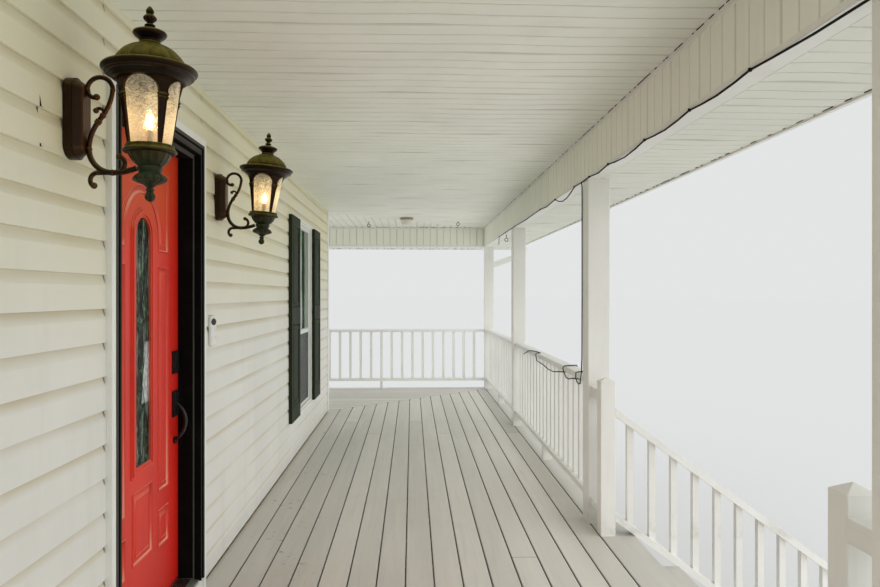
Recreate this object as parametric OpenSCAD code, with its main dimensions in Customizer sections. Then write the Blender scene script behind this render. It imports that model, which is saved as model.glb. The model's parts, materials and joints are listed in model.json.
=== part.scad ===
// Front porch that wraps round one corner of a house: deck, posts, railings, stairs, ceiling and
// hipped roof, with the clad wall, the entry door, the window and the wall lanterns that it serves.
// X points away from the house wall, Y runs along the front towards the corner, Z is up.
// The origin is on the ground, at mid-thickness of the front foundation, on the door's centre line.

/* [Deck] */
// Height of the deck's surface above the ground
deck_h = 1100; // [800:10:1400]
// Number of boards across the front deck
front_boards = 15; // [13:1:18]
// Number of boards across the side deck
side_boards = 14; // [12:1:18]
// Width of a deck board
board_w = 139.7; // [120:0.1:150]
// Gap between deck boards
board_gap = 4.8; // [3:0.1:8]
// Thickness of a deck board
board_t = 25; // [20:1:38]
// Gap between the house and the first board
wall_gap = 6; // [3:1:12]
// Width of the border board along the deck's edge
border_w = 206.5; // [140:0.5:240]
// How far the boards reach past the skirt
deck_nose = 15; // [5:1:30]
// Thickness of the painted skirt board that closes the deck's edge
skirt_t = 22; // [15:1:30]
// Height of the skirt board
skirt_h = 235; // [220:5:300]
// Thickness of a joist
joist_t = 38; // [35:1:50]
// Height of a joist
joist_h = 184; // [140:1:190]
// Spacing of the joists
joist_pitch = 406; // [300:1:610]
// Width of the beam that carries the joists
girder_w = 76; // [60:1:120]
// Height of the beam that carries the joists
girder_h = 184; // [140:1:240]

/* [House wall] */
// Thickness of the framed wall
wall_t = 116; // [100:1:180]
// Thickness of the foundation wall
foundation_t = 200; // [150:10:300]
// Depth of the foundation's top under the deck's top
foundation_drop = 300; // [250:10:600]
// Distance from the door's centre line to the outer face of the side wall
corner_y = 5854; // [5400:1:6600]
// How far the side wall and the side deck run back from the front wall's outer face
side_len = 1220; // [1000:10:2400]
// Height of one course of lap siding
lap_h = 114.3; // [100:0.1:130]
// Thickness of the siding at the butt of a course
lap_t = 15; // [10:1:20]
// Height of the sloped recess at the top of a course
lap_bevel = 36; // [20:1:50]
// Height of the first butt above the deck
lap_start = 21; // [10:1:60]
// Width of the corner post of the siding
corner_w = 100; // [60:1:130]
// Width of the trim strips at the siding's ends
trim_w = 20; // [14:1:30]
// Width of the trim strip around the door
door_trim_w = 34; // [25:1:60]
// How far the trim strip around the door stands off the wall
door_trim_t = 33; // [22:1:34]
// How far trim strips stand off the wall
trim_t = 21; // [18:1:30]

/* [Door] */
// Width of the door leaf
leaf_w = 910; // [860:1:950]
// Height of the door leaf
leaf_h = 2007; // [1960:1:2040]
// Thickness of the door leaf
leaf_t = 44; // [40:1:50]
// Height of the leaf's foot above the deck
leaf_lift = 90; // [60:1:110]
// Gap around the leaf
leaf_gap = 7; // [6:1:10]
// Thickness of the jambs
jamb_t = 32; // [28:1:40]
// How far the stop reaches over the leaf's edge
stop_w = 14; // [10:1:20]
// Gap between the stop and the closed leaf
stop_gap = 5; // [5:0.5:8]
// Width of the outer casing
casing_w = 51; // [40:1:70]
// How far the casing stands off the wall
casing_t = 35; // [26:1:45]
// Gap between a jamb's face and the casing's inner edge
casing_reveal = 22; // [10:1:26]
// Radius of a hinge knuckle
knuckle_r = 6; // [5:0.5:8]
// Length of a hinge knuckle
knuckle_h = 100; // [80:5:120]
// Half of the width of the glass in the door
lite_r = 82; // [60:1:95]
// Height of the foot of the glass above the deck
lite_z = 735; // [600:5:900]
// Height of the glass from foot to crown
lite_h = 1025; // [700:5:1100]
// Width of the moulding around the glass
lite_frame_w = 40; // [30:1:60]
// How far the moulding around the glass stands off the leaf
lite_frame_t = 10; // [6:1:20]
// Thickness of a pane of glass
glass_t = 6; // [4:1:10]
// Width of a groove around a panel of the door
groove_w = 32; // [20:1:36]
// Depth of a groove around a panel of the door
groove_d = 6; // [3:0.5:8]
// Half of the width of the panel under the glass
panel_mid = 108; // [90:1:130]
// Distance from the door's centre line to a side panel
panel_in = 183; // [160:1:200]
// Distance from the door's centre line to a side panel's far edge
panel_out = 310; // [290:1:330]
// Distance from the leaf's edge to the middle of the lock
lock_inset = 60; // [55:1:75]
// Distance from the door's centre line to the doorbell
bell_y = 680; // [640:5:800]

/* [Window] */
// Distance from the door's centre line to the window's near edge
window_y = 3470; // [3300:1:3600]
// Width of the window
window_w = 940; // [800:5:1100]
// Height of the window's foot above the deck
window_z = 354; // [250:1:500]
// Height of the window
window_h = 1763; // [1500:5:1850]
// Width of the window frame's face
frame_w = 45; // [35:1:60]
// Width of a sash bar
sash_w = 42; // [30:1:50]
// Thickness of a sash
sash_t = 34; // [26:1:40]
// Height of the meeting rail's top above the window's foot
meet_h = 761; // [650:1:950]
// Width of a shutter
shutter_w = 450; // [300:5:480]
// Thickness of a shutter
shutter_t = 28; // [22:1:36]

/* [Posts and railings] */
// Width of a tall post
post_w = 140; // [115:1:150]
// Distance from the post's outer face to the deck's edge
post_inset = 85; // [60:1:110]
// Mean clear gap between a newel at the head of the stairs and the tall post beside it
stub_gap = 137.5; // [100:0.5:180]
// Distance from the door's centre line to the middle of the stair bay
stair_bay_y = 51; // [-60:1:120]
// Clear width of the bays on either side of the stair bay
long_bay = 3206; // [2900:1:3206]
// Width of a newel post
newel_w = 89; // [75:1:95]
// Height of a newel's shaft above the deck
newel_h = 920; // [890:5:1000]
// Height of the pyramid on top of a newel
newel_cap = 25; // [10:1:45]
// Clear width between the newels at the head of the stairs
stair_w = 2324; // [2000:1:2400]
// Height of the top of a railing above the deck
rail_h = 907; // [850:1:920]
// Height of the top of a bottom rail above the deck
rail_low = 165; // [120:1:200]
// Height of a short rail between a newel and a tall post
stub_t = 64; // [38:1:80]
// Width of a rail
rail_w = 89; // [70:1:100]
// Thickness of a rail
rail_t = 38; // [30:1:45]
// Width of a baluster
baluster_w = 38; // [30:1:40]
// Largest spacing of the balusters
baluster_pitch = 169; // [140:1:190]
// Spacing of the balusters on the side railing
side_pitch = 160; // [120:1:180]

/* [Stairs] */
// Number of risers
risers = 6; // [5:1:7]
// Depth of a step from nosing to nosing
tread_run = 252; // [240:1:290]
// Thickness of a tread
tread_t = 38; // [30:1:40]
// How far a tread stands out over the riser below
nosing = 25; // [15:1:35]
// Thickness of a riser board
riser_t = 19; // [15:1:25]
// Height of the stair rail's top above the deck at the upper newel
stair_rail_z = 761; // [700:1:840]
// Clearance between the stair's bottom rail and the deck's edge
stair_clear = 2; // [1:0.5:20]
// Spacing of the balusters along the stairs
stair_pitch = 133; // [110:1:150]
// Thickness of a stringer
stringer_t = 38; // [30:1:50]

/* [Ceiling and roof] */
// Height of the beams' underside above the deck
beam_z = 2169; // [2100:1:2250]
// Width of a beam
beam_w = 83; // [75:1:120]
// Height of the ceiling above the deck
ceiling_z = 2463; // [2440:1:2550]
// Thickness of the ceiling panels
panel_t = 12; // [8:1:20]
// Distance from the post's inner face to the outer face of the eave board
eave_out = 557; // [480:1:700]
// Thickness of the eave board
fascia_t = 22; // [18:1:30]
// Height of the eave board
fascia_h = 150; // [140:1:200]
// How far the eave board hangs below the soffit
fascia_drop = 8; // [4:1:20]
// Rise of the roof for each unit of run
roof_pitch = 0.333; // [0.25:0.01:0.42]
// Upright thickness of the roof's boards and shingles
roof_t = 30; // [24:1:50]
// How far the roof reaches past the eave board
drip = 28; // [10:1:50]
// How far the roof reaches past the end posts
rake = 280; // [150:10:400]
// How far the wall rises above the roof
upstand = 60; // [30:5:150]
// Width of the gutter
gutter_w = 140; // [110:1:150]
// Height of the gutter
gutter_h = 85; // [70:1:110]
// Thickness of the gutter's metal
gutter_t = 2; // [1:0.5:4]
// Width of the downspout
spout_w = 100; // [70:1:105]
// Depth of the downspout
spout_d = 74; // [40:1:80]
// Width of the trim strip between the ceiling and the beams
cove_h = 28; // [15:1:40]
// Thickness of the ceiling's trim strips
cove_t = 6; // [3:1:10]

/* [Lights] */
// Distance of a lantern's axis from the siding
lantern_out = 239; // [220:1:270]
// Distance from the door's centre line to each lantern
lantern_y = 816; // [760:1:900]
// Height of a lantern's crown above the deck
lantern_z = 2316; // [2280:1:2330]
// Height of a lantern
lantern_h = 595; // [500:5:640]
// How far the far lantern leans off upright, in degrees
lantern_lean = 4; // [0:0.5:5]
// Diameter of the ceiling light
dome_d = 185; // [150:5:220]
// Height of the ceiling light
dome_h = 96; // [70:2:130]
// Diameter of the ring of a ceiling hook
hook_d = 40; // [25:1:60]
// Diameter of the lights' cable along the beam
cable_d = 8; // [6:0.5:10]

/* [Hidden] */
$fn = 48;
foundation_h = deck_h - foundation_drop;
wall_x = foundation_t/2;                          // outer face of the framed front wall
wall_in = wall_x - wall_t;
side_x0 = wall_x - side_len;                      // back end of the side wall and side deck
board_pitch = board_w + board_gap;
edge_x = wall_x + wall_gap + front_boards*board_pitch + border_w;
edge_y = corner_y + wall_gap + side_boards*board_pitch + border_w;
skirt_x = edge_x - deck_nose;                     // outer faces of the skirt boards
skirt_y = edge_y - deck_nose;
post_x = edge_x - post_inset - post_w;            // inner face of the front posts
post_y = edge_y - post_inset - post_w;            // inner face of the side posts
stair_bay = stair_w + 2*(newel_w + stub_gap);     // clear width between the posts beside the stairs
post_4 = stair_bay_y - stair_bay/2 - post_w;      // near faces of the front posts
post_3 = stair_bay_y + stair_bay/2;
post_2 = post_3 + post_w + long_bay;
post_5 = post_4 - long_bay - post_w;
post_0 = side_x0 + post_inset;                    // side post's face at the back end
near_y = post_inset - post_5;                     // the wall and the deck end at y = -near_y
beam_bottom = deck_h + beam_z;
ceiling_bottom = deck_h + ceiling_z;
fascia_x = post_x + eave_out;                     // outer face of the front eave board
fascia_y = post_y + eave_out;
eave_x = fascia_x + drip;
eave_y = fascia_y + drip;
eave_z = beam_bottom - fascia_drop + fascia_h;    // underside of the roof at its eave
roof_y0 = post_5 - rake;                          // near end of the roof
roof_x0 = post_0 - rake;                          // back end of the side roof
hip_shift = eave_y - eave_x;                      // the hip is the line y = x + hip_shift
wall_top = eave_z + roof_t + roof_pitch*(eave_x - wall_x) + upstand;
side_wall_top = eave_z + roof_t + roof_pitch*(eave_y - corner_y) + upstand;
leaf_z = deck_h + leaf_lift;
leaf_top = leaf_z + leaf_h;
leaf_x = wall_in;                                 // inner face of the closed leaf
jamb_y = leaf_w/2 + leaf_gap;                     // rabbet of the side jambs
jamb_out = jamb_y + jamb_t;
head_z = leaf_top + leaf_gap;
stop_x = leaf_x + leaf_t + stop_gap;
casing_in = jamb_y - stop_w + casing_reveal;
casing_out = casing_in + casing_w;
casing_top = head_z - stop_w + casing_reveal + casing_w;
sill_h = 60;                                      // height of the trim board under the casing
hinge_x = leaf_x - knuckle_r - 1;
hinge_y = -leaf_w/2 - leaf_gap/2;
hinge_levels = [leaf_z + 230, leaf_z + leaf_h/2, leaf_top - 230];
win_z0 = deck_h + window_z;
win_z1 = win_z0 + window_h;
win_y1 = window_y + window_w;
meet_z = win_z0 + meet_h;                         // top of the window's meeting rail
siding_x = wall_x + lap_t;
siding_z0 = deck_h + lap_start;
rail_x = post_x + post_w/2;                       // middle line of the front railings
rail_y = post_y + post_w/2;                       // middle line of the side railings
newel_x = rail_x - newel_w/2 - 9;
stair_y = stair_bay_y - 17;                       // middle line of the stairs
stair_y0 = stair_y - stair_w/2;
stair_y1 = stair_y + stair_w/2;
rise = deck_h/risers;
slope = rise/tread_run;
stair_x1 = skirt_x + (risers - 1)*tread_run;      // face of the lowest riser
foot_newel_x = stair_x1 + nosing - 10;
rail_x0 = newel_x + newel_w;
rail_v = rail_t*sqrt(1 + slope*slope);            // upright thickness of a sloping rail
stair_low_z = slope*(edge_x - rail_x0) + rail_v + stair_clear;
girder_z = deck_h - board_t - joist_h - girder_h;

// Upright box between two corners
module block(x0, x1, y0, y1, z0, z1) {
    translate([x0, y0, z0]) cube([x1 - x0, y1 - y0, z1 - z0]);
}

// Profile drawn in X and Z, carried along Y
module along_y(y0, y1) {
    translate([0, y1, 0]) rotate([90, 0, 0]) linear_extrude(y1 - y0) children();
}

// Profile drawn in Y and Z, carried along X
module along_x(x0, x1) {
    translate([x0, 0, 0]) rotate([90, 0, 90]) linear_extrude(x1 - x0) children();
}

// Plan drawn in X and Y, carried upwards
module upright(z0, z1) {
    translate([0, 0, z0]) linear_extrude(z1 - z0) children();
}

// Ground plan on the front's side of a corner line through (px, py) with the given slope
module front_side(px, py, m) {
    polygon([[px - 9000, py - 9000*m], [px + 9000, py + 9000*m], [px + 9000, -20000], [px - 9000, -20000]]);
}

// The foundation under the front wall
module front_foundation() color("gray")
    block(-foundation_t/2, wall_x, -near_y, corner_y, 0, foundation_h);

// The foundation under the side wall
module side_foundation() color("gray")
    block(side_x0, -foundation_t/2, corner_y - foundation_t, corner_y, 0, foundation_h);

// Full-height stretches of the front wall, beside the door and the window
module front_wall() color("gainsboro") {
    block(wall_in, wall_x, -near_y, -jamb_out, foundation_h, wall_top);
    block(wall_in, wall_x, jamb_out, window_y, foundation_h, wall_top);
    block(wall_in, wall_x, win_y1, corner_y, foundation_h, wall_top);
}

// The wall under and over the door and the window
module wall_infill() color("gainsboro") {
    block(wall_in, wall_x, -jamb_out, jamb_out, foundation_h, deck_h);
    block(wall_in, wall_x, -jamb_out, jamb_out, head_z + jamb_t, wall_top);
    block(wall_in, wall_x, window_y, win_y1, foundation_h, win_z0);
    block(wall_in, wall_x, window_y, win_y1, win_z1, wall_top);
}

module side_wall() color("gainsboro")
    block(side_x0, wall_in, corner_y - wall_t, corner_y, foundation_h, side_wall_top);

// One course of lap siding above another: the flat face, then the slope under the next butt
function lap_profile(z0, z1, t) = let (n = ceil((z1 - z0)/lap_h)) concat(
    [[0, z0]],
    [for (i = [0 : n - 1], p = [[t, 0], [t - 1, lap_h - lap_bevel], [t - 10, lap_h - 4], [t - 10, lap_h]])
        if (z0 + i*lap_h + p[1] < z1 - 1) [p[0], z0 + i*lap_h + p[1]]],
    [[t - 10, z1], [0, z1]]);

module front_siding() color("ivory") difference() {
    along_y(-near_y + trim_w, corner_y - corner_w)
        translate([wall_x, 0]) polygon(lap_profile(siding_z0, ceiling_bottom, lap_t));
    block(wall_x - 1, wall_x + 99, -casing_out - door_trim_w, casing_out + door_trim_w,
        0, casing_top + door_trim_w);
    block(wall_x - 1, wall_x + 99, window_y, win_y1, win_z0 - trim_w, win_z1 + trim_w);
}

module side_siding() color("ivory")
    along_x(side_x0 + trim_w, wall_x - corner_w)
        translate([corner_y, 0]) polygon(lap_profile(siding_z0, ceiling_bottom, lap_t));

// White strips: around the door, over and under the window, the siding's corner post and its ends
module wall_trim() color("white") {
    w = door_trim_w;
    difference() {
        block(wall_x, wall_x + door_trim_t, -casing_out - w, casing_out + w, deck_h, casing_top + w);
        block(wall_x - 1, wall_x + door_trim_t + 1, -casing_out, casing_out, deck_h - 1, casing_top);
    }
    block(wall_x, wall_x + trim_t, -casing_out, casing_out, deck_h, deck_h + sill_h);
    block(wall_x, wall_x + trim_t, window_y, win_y1, win_z0 - trim_w, win_z0);
    block(wall_x, wall_x + trim_t, window_y, win_y1, win_z1, win_z1 + trim_w);
    upright(deck_h, ceiling_bottom) polygon([[wall_x, corner_y], [wall_x, corner_y - corner_w],
        [wall_x + trim_t, corner_y - corner_w], [wall_x + trim_t, corner_y + trim_t],
        [wall_x - corner_w, corner_y + trim_t], [wall_x - corner_w, corner_y]]);
    block(wall_x, wall_x + trim_t, -near_y, -near_y + trim_w, deck_h, ceiling_bottom);
    block(side_x0, side_x0 + trim_w, corner_y, corner_y + trim_t, deck_h, ceiling_bottom);
}

// Door frame: two side jambs and the head, each with a stop outside the leaf
module jamb_section() {
    polygon([[wall_in, jamb_y], [stop_x, jamb_y], [stop_x, jamb_y - stop_w], [wall_x, jamb_y - stop_w],
        [wall_x, jamb_out], [wall_in, jamb_out]]);
}

module door_frame() color([0.08, 0.08, 0.08]) {
    upright(deck_h, head_z + jamb_t) jamb_section();
    upright(deck_h, head_z + jamb_t) mirror([0, 1]) jamb_section();
    along_y(-jamb_y + stop_w, jamb_y - stop_w)
        polygon([[wall_in, head_z], [stop_x, head_z], [stop_x, head_z - stop_w],
            [wall_x, head_z - stop_w], [wall_x, head_z + jamb_t], [wall_in, head_z + jamb_t]]);
}

// Moulded casing around the outside of the door frame
function casing_profile() = [[0, 0], [casing_t*0.92, 0], [casing_t*0.98, casing_w*0.08],
    [casing_t*0.92, casing_w*0.2], [casing_t*0.74, casing_w*0.32], [casing_t*0.76, casing_w*0.58],
    [casing_t, casing_w*0.7], [casing_t, casing_w], [0, casing_w]];

module door_casing() color([0.1, 0.1, 0.1]) {
    z_in = casing_top - casing_w;
    for (side = [-1, 1])
        intersection() {
            upright(deck_h + sill_h, casing_top)
                polygon([for (q = casing_profile()) [wall_x + q[0], side*(casing_in + q[1])]]);
            along_x(wall_x, wall_x + casing_t)
                polygon([[side*casing_in, 0], [side*casing_out, 0], [side*casing_out, casing_top],
                    [side*casing_in, z_in]]);
        }
    intersection() {
        along_y(-casing_out, casing_out)
            polygon([for (q = casing_profile()) [wall_x + q[0], z_in + q[1]]]);
        along_x(wall_x, wall_x + casing_t)
            polygon([[-casing_in, z_in], [casing_in, z_in],
                [casing_out, casing_top], [-casing_out, casing_top]]);
    }
}

// Fluted sill between the jambs, with a nose over the trim board
module door_threshold() color("silver") {
    flute = 10;
    top = leaf_z - leaf_gap;
    difference() {
        union() {
            along_y(-jamb_y + stop_w, jamb_y - stop_w)
                polygon([[wall_in, deck_h], [wall_x, deck_h], [wall_x, deck_h + sill_h],
                    [wall_x + trim_t + 8, deck_h + sill_h], [wall_x + trim_t + 8, deck_h + sill_h + 12],
                    [wall_x - 10, top], [wall_in, top]]);
        }
        for (i = [0 : 4])
            block(stop_x + 8 + i*flute, stop_x + 12 + i*flute, -jamb_y, jamb_y, top - 2, top + 10);
    }
}

// One knuckle of a hinge between two heights, with its plate reaching to a given side
module knuckle(z0, z1, plate_y) {
    translate([hinge_x, hinge_y, z0]) cylinder(r = knuckle_r, h = z1 - z0);
    block(wall_in - 3, wall_in, min(plate_y, hinge_y), max(plate_y, hinge_y), z0, z1);
}

// Fixed halves of three butt hinges: two knuckles each, with plates on the jamb's inner edge
module door_hinges() color([0.1, 0.1, 0.1])
    for (z = hinge_levels, side = [-1, 1])
        knuckle(z + side*knuckle_h/3 - knuckle_h/6, z + side*knuckle_h/3 + knuckle_h/6, -jamb_out + 4);

// Moving halves of the hinges: the middle knuckle, with a plate on the leaf
module leaf_hinges() color([0.1, 0.1, 0.1])
    for (z = hinge_levels)
        knuckle(z - knuckle_h/6 + 0.2, z + knuckle_h/6 - 0.2, hinge_y + 42);

// Outline of the glass: straight sides under a round crown, grown by a margin
module lite_outline(grow) {
    r = lite_r + grow;
    spring = lite_z + lite_h - lite_r;
    translate([0, lite_z - grow]) translate([-r, 0]) square([2*r, spring - lite_z + grow]);
    translate([0, spring]) circle(r = r, $fn = 64);
}

// Plate with the outline above, standing in the leaf's plane between two depths
module lite_plate(x0, x1, grow) {
    translate([0, 0, deck_h]) along_x(x0, x1) lite_outline(grow);
}

// A groove around a panel: the outline less the same outline drawn in by the groove's width
module panel_groove(y0, y1, z0, z1) {
    g = groove_w;
    difference() {
        translate([y0, z0]) square([y1 - y0, z1 - z0]);
        translate([y0 + g, z0 + g]) square([y1 - y0 - 2*g, z1 - z0 - 2*g]);
    }
}

// Outline of the panel over the glass: a broad arch, drawn in by a margin
module arch_outline(g) {
    spring = lite_z + lite_h - lite_r;
    z0 = spring - lite_r*0.6;
    difference() {
        translate([-panel_out + g, z0 + g]) square([2*panel_out - 2*g, leaf_h - 25 - z0 - 2*g]);
        translate([-panel_in - g, z0 - 1]) square([2*panel_in + 2*g, spring - z0 + 1]);
        translate([0, spring]) circle(r = panel_in + g, $fn = 96);
    }
}

// All grooves of the leaf: four side panels, one under the glass and the arch over it
module leaf_grooves() {
    z = lite_z - leaf_lift;                       // foot of the glass, from the leaf's foot
    mid = leaf_lift + z*0.74;
    for (side = [[-panel_out, -panel_in], [panel_in, panel_out]]) {
        panel_groove(side[0], side[1], leaf_lift + 230, leaf_lift + 395);
        panel_groove(side[0], side[1], mid, lite_z + lite_h*0.807);
    }
    panel_groove(-panel_mid, panel_mid, leaf_lift + 250, mid + 70);
    difference() {
        arch_outline(0);
        arch_outline(groove_w);
    }
}

module front_door() color([0.75, 0.1, 0.06]) difference() {
    block(leaf_x, leaf_x + leaf_t, -leaf_w/2, leaf_w/2, leaf_z, leaf_top);
    lite_plate(leaf_x - 1, leaf_x + leaf_t + 1, 6);
    for (x = [leaf_x - 1, leaf_x + leaf_t - groove_d])
        translate([0, 0, deck_h]) along_x(x, x + groove_d + 1) leaf_grooves();
}

// Moulding around the glass, on both faces of the leaf
module door_lite_frame() color([0.75, 0.1, 0.06]) {
    t = lite_frame_t;
    difference() {
        union() {
            lite_plate(leaf_x + leaf_t, leaf_x + leaf_t + t*0.5, lite_frame_w);
            lite_plate(leaf_x + leaf_t, leaf_x + leaf_t + t, lite_frame_w - 10);
            lite_plate(leaf_x - t*0.5, leaf_x, lite_frame_w);
            lite_plate(leaf_x - t, leaf_x, lite_frame_w - 10);
            lite_plate(leaf_x, leaf_x + leaf_t, 6);
        }
        lite_plate(leaf_x - 50, leaf_x + 99, 0);
        lite_plate(leaf_x + leaf_t + t*0.6, leaf_x + 99, 12);
        lite_plate(leaf_x - 99, leaf_x - t*0.6, 12);
    }
}

module door_glass() color("darkseagreen", 0.6)
    lite_plate(leaf_x + leaf_t - 3 - glass_t, leaf_x + leaf_t - 3, 0);

lock_y = leaf_w/2 - lock_inset;
lock_x = leaf_x + leaf_t;

// Deadbolt and handle plates with a bowed grip outside; a turn and a knob inside
module door_handle_set() color([0.08, 0.08, 0.08]) {
    grip_r = 101;
    bow = 55;
    z_mid = deck_h + 845;
    for (z = [[deck_h + 1070, deck_h + 1175], [deck_h + 868, deck_h + 988]]) {
        block(lock_x, lock_x + 11, lock_y - 32, lock_y + 32, z[0], z[1]);
        block(lock_x + 11, lock_x + 15, lock_y - 27, lock_y + 27, z[0] + 5, z[1] - 5);
    }
    translate([lock_x + 15, lock_y, deck_h + 1105]) rotate([0, 90, 0]) cylinder(r = 14, h = 5);
    translate([lock_x, lock_y, z_mid - 90]) rotate([0, 90, 0]) cylinder(r = 16, h = 10);
    translate([lock_x + bow - grip_r, lock_y, z_mid]) rotate([90, 0, 0]) rotate([0, 0, -60])
        rotate_extrude(angle = 120) translate([grip_r, 0]) circle(r = 8, $fn = 24);
    translate([leaf_x, lock_y, deck_h + 930]) rotate([0, -90, 0]) rotate_extrude()
        polygon([[0, 0], [33, 0], [32, 6], [20, 10], [12, 14], [11, 26], [18, 34], [26, 42], [29, 52],
            [26, 62], [17, 69], [0, 71]]);
    translate([leaf_x - 8, lock_y, deck_h + 1122]) rotate([0, 90, 0]) cylinder(r = 28, h = 8);
    block(leaf_x - 26, leaf_x - 8, lock_y - 4, lock_y + 4, deck_h + 1106, deck_h + 1138);
}

// Window: frame in the wall, two sashes, glass and a half screen
module window_frame() color("white") difference() {
    block(wall_in, wall_x + 12, window_y, win_y1, win_z0, win_z1);
    block(wall_in - 1, wall_x + 13, window_y + frame_w, win_y1 - frame_w, win_z0 + frame_w, win_z1 - frame_w);
}

// One sash: a ring of bars
module sash(x0, z0, z1) {
    difference() {
        block(x0, x0 + sash_t, window_y + frame_w, win_y1 - frame_w, z0, z1);
        block(x0 - 1, x0 + sash_t + 1, window_y + frame_w + sash_w, win_y1 - frame_w - sash_w,
            z0 + sash_w, z1 - sash_w);
    }
}

sash_x = wall_x - 28 - sash_t;                    // back face of the upper sash
module window_sashes() color("white") {
    sash(sash_x, meet_z - sash_w, win_z1 - frame_w);
    sash(sash_x - sash_t - 1, win_z0 + frame_w, meet_z);
}

module window_glass() color("lightblue", 0.5) {
    pane_y0 = window_y + frame_w + sash_w;
    pane_y1 = win_y1 - frame_w - sash_w;
    x_up = sash_x + sash_t/2 - glass_t/2;
    block(x_up, x_up + glass_t, pane_y0, pane_y1, meet_z, win_z1 - frame_w - sash_w);
    block(x_up - sash_t - 1, x_up - sash_t - 1 + glass_t, pane_y0, pane_y1,
        win_z0 + frame_w + sash_w, meet_z - sash_w);
}

module window_screen() color("dimgray")
    block(sash_x + sash_t + 4, sash_x + sash_t + 14, window_y + frame_w, win_y1 - frame_w,
        win_z0 + frame_w, meet_z - sash_w);

// Two-panel shutters on either side of the window
module shutter(y0) {
    x0 = siding_x;
    bar = 48;
    rail_z = [win_z0, win_z0 + 116, win_z0 + meet_h + 75, win_z0 + meet_h + 205, win_z1 - 77];
    difference() {
        block(x0, x0 + shutter_t, y0, y0 + shutter_w, win_z0, win_z1);
        for (z = [[rail_z[1], rail_z[2]], [rail_z[3], rail_z[4]]])
            block(x0 + shutter_t - 10, x0 + shutter_t + 1, y0 + bar, y0 + shutter_w - bar, z[0], z[1]);
    }
    for (z = [[rail_z[1], rail_z[2]], [rail_z[3], rail_z[4]]])
        block(x0 + shutter_t - 11, x0 + shutter_t - 3, y0 + bar + 20, y0 + shutter_w - bar - 20,
            z[0] + 20, z[1] - 20);
}

module shutters() color([0.08, 0.1, 0.07]) {
    shutter(window_y - shutter_w);
    shutter(win_y1);
}

// Places a lantern: origin at its crown's height on the siding's face, X away from the wall.
// It is drawn 595 high and scaled to the height that is set.
module at_lantern(far) {
    translate([siding_x, far ? lantern_y : -lantern_y, deck_h + lantern_z - (far ? 15 : 0)])
        scale(lantern_h/595) children();
}

lantern_axis = lantern_out*595/lantern_h;

// Leans the hanging part of the far lantern about the foot of its axis
module leaned(far) {
    translate([lantern_axis, 0, -500]) rotate([0, far ? lantern_lean : 0, 0])
        translate([0, 0, 500]) children();
}

// Arc of round bar in the plane of X and Z, about a centre, between two angles from +X
module bar_arc(cx, cz, r, a0, a1, bar) {
    translate([cx, 0, cz]) rotate([90, 0, 0]) rotate([0, 0, a0])
        rotate_extrude(angle = a1 - a0, $fn = 72) translate([r, 0]) circle(r = bar, $fn = 16);
}

module bar_ball(x, z, r) {
    translate([x, 0, z]) sphere(r = r, $fn = 24);
}

// Outline of the back plate: straight sides under an arched head, with an arched foot, drawn in by g
module plate_outline(g) {
    w = 46 - g;
    for (q = [[-262, 1, -222 - g], [-429, -1, -469 + g]])
        intersection() {
            translate([0, q[0]]) scale([1, abs(q[2] - q[0])/w]) circle(r = w, $fn = 32);
            translate([-w, q[0] + (q[1] < 0 ? -60 : 0)]) square([2*w, 60]);
        }
    translate([-w, -429]) square([2*w, 167]);
}

// Back plate with a bevelled front, and the scroll: a spiral above, a loop below and four curls
module lantern_bracket() {
    along_x(0, 26) plate_outline(0);
    hull() {
        along_x(26, 27) plate_outline(4);
        along_x(50, 51) plate_outline(20);
    }
    bar_arc(76, -256, 24, 184, 280, 6.5);
    bar_ball(80, -278, 10);
    bar_arc(90, -256, 38, 2, 178, 7);
    bar_arc(-23, -244, 151, -35.8, -5, 7);
    bar_arc(197.1, -436.5, 140, 144.3, 179.6, 7.5);
    bar_arc(127.1, -436.5, 70, 181, 269, 8.5);
    bar_arc(127.1, -322.5, 184, 270.3, 293, 8.5);
    bar_arc(88, -325, 13, -10, 150, 5);
    bar_arc(84, -530, 23, 92, 235, 7);
    bar_arc(140, -480, 24, -80, 70, 7);
    translate([84, 0, -507]) rotate([0, 90, 0]) cylinder(r = 7, h = 30, $fn = 16);
    translate([40, 0, -256]) rotate([0, 90, 0]) cylinder(r = 6, h = 12, $fn = 16);
    translate([40, 0, -436.5]) rotate([0, 90, 0]) cylinder(r = 6, h = 17, $fn = 16);
    for (q = [[52, -256, 8.5], [127.7, -256.5, 8], [57.1, -436.5, 9.5], [127.1, -506.5, 9.5], [84, -507, 8],
        [78, -319, 8.5], [72, -546, 10], [147, -458, 9.5], [98.6, -333.5, 9.5]])
        bar_ball(q[0], q[1], q[2]);
    translate([84, 0, -354]) rotate([0, 36, 0]) rotate_extrude(convexity = 4)
        polygon([[0, -6], [8, -6], [10.5, -4], [10.5, -1], [8.5, 1], [10.5, 3], [10.5, 6], [7.5, 9],
            [7.5, 25], [0, 25]]);
}

module lantern_brackets() color([0.12, 0.09, 0.06])
    for (far = [false, true]) at_lantern(far) lantern_bracket();

// One window of a lantern: straight sides that taper downwards under a low round arch
module lantern_window() {
    rotate([90, 0, 90]) linear_extrude(130) {
        polygon([[-44, -424], [44, -424], [51, -270], [-51, -270]]);
        intersection() {
            translate([0, -270]) scale([1, 38/51]) circle(r = 51, $fn = 72);
            translate([-60, -271]) square([120, 45]);
        }
    }
}

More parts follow.
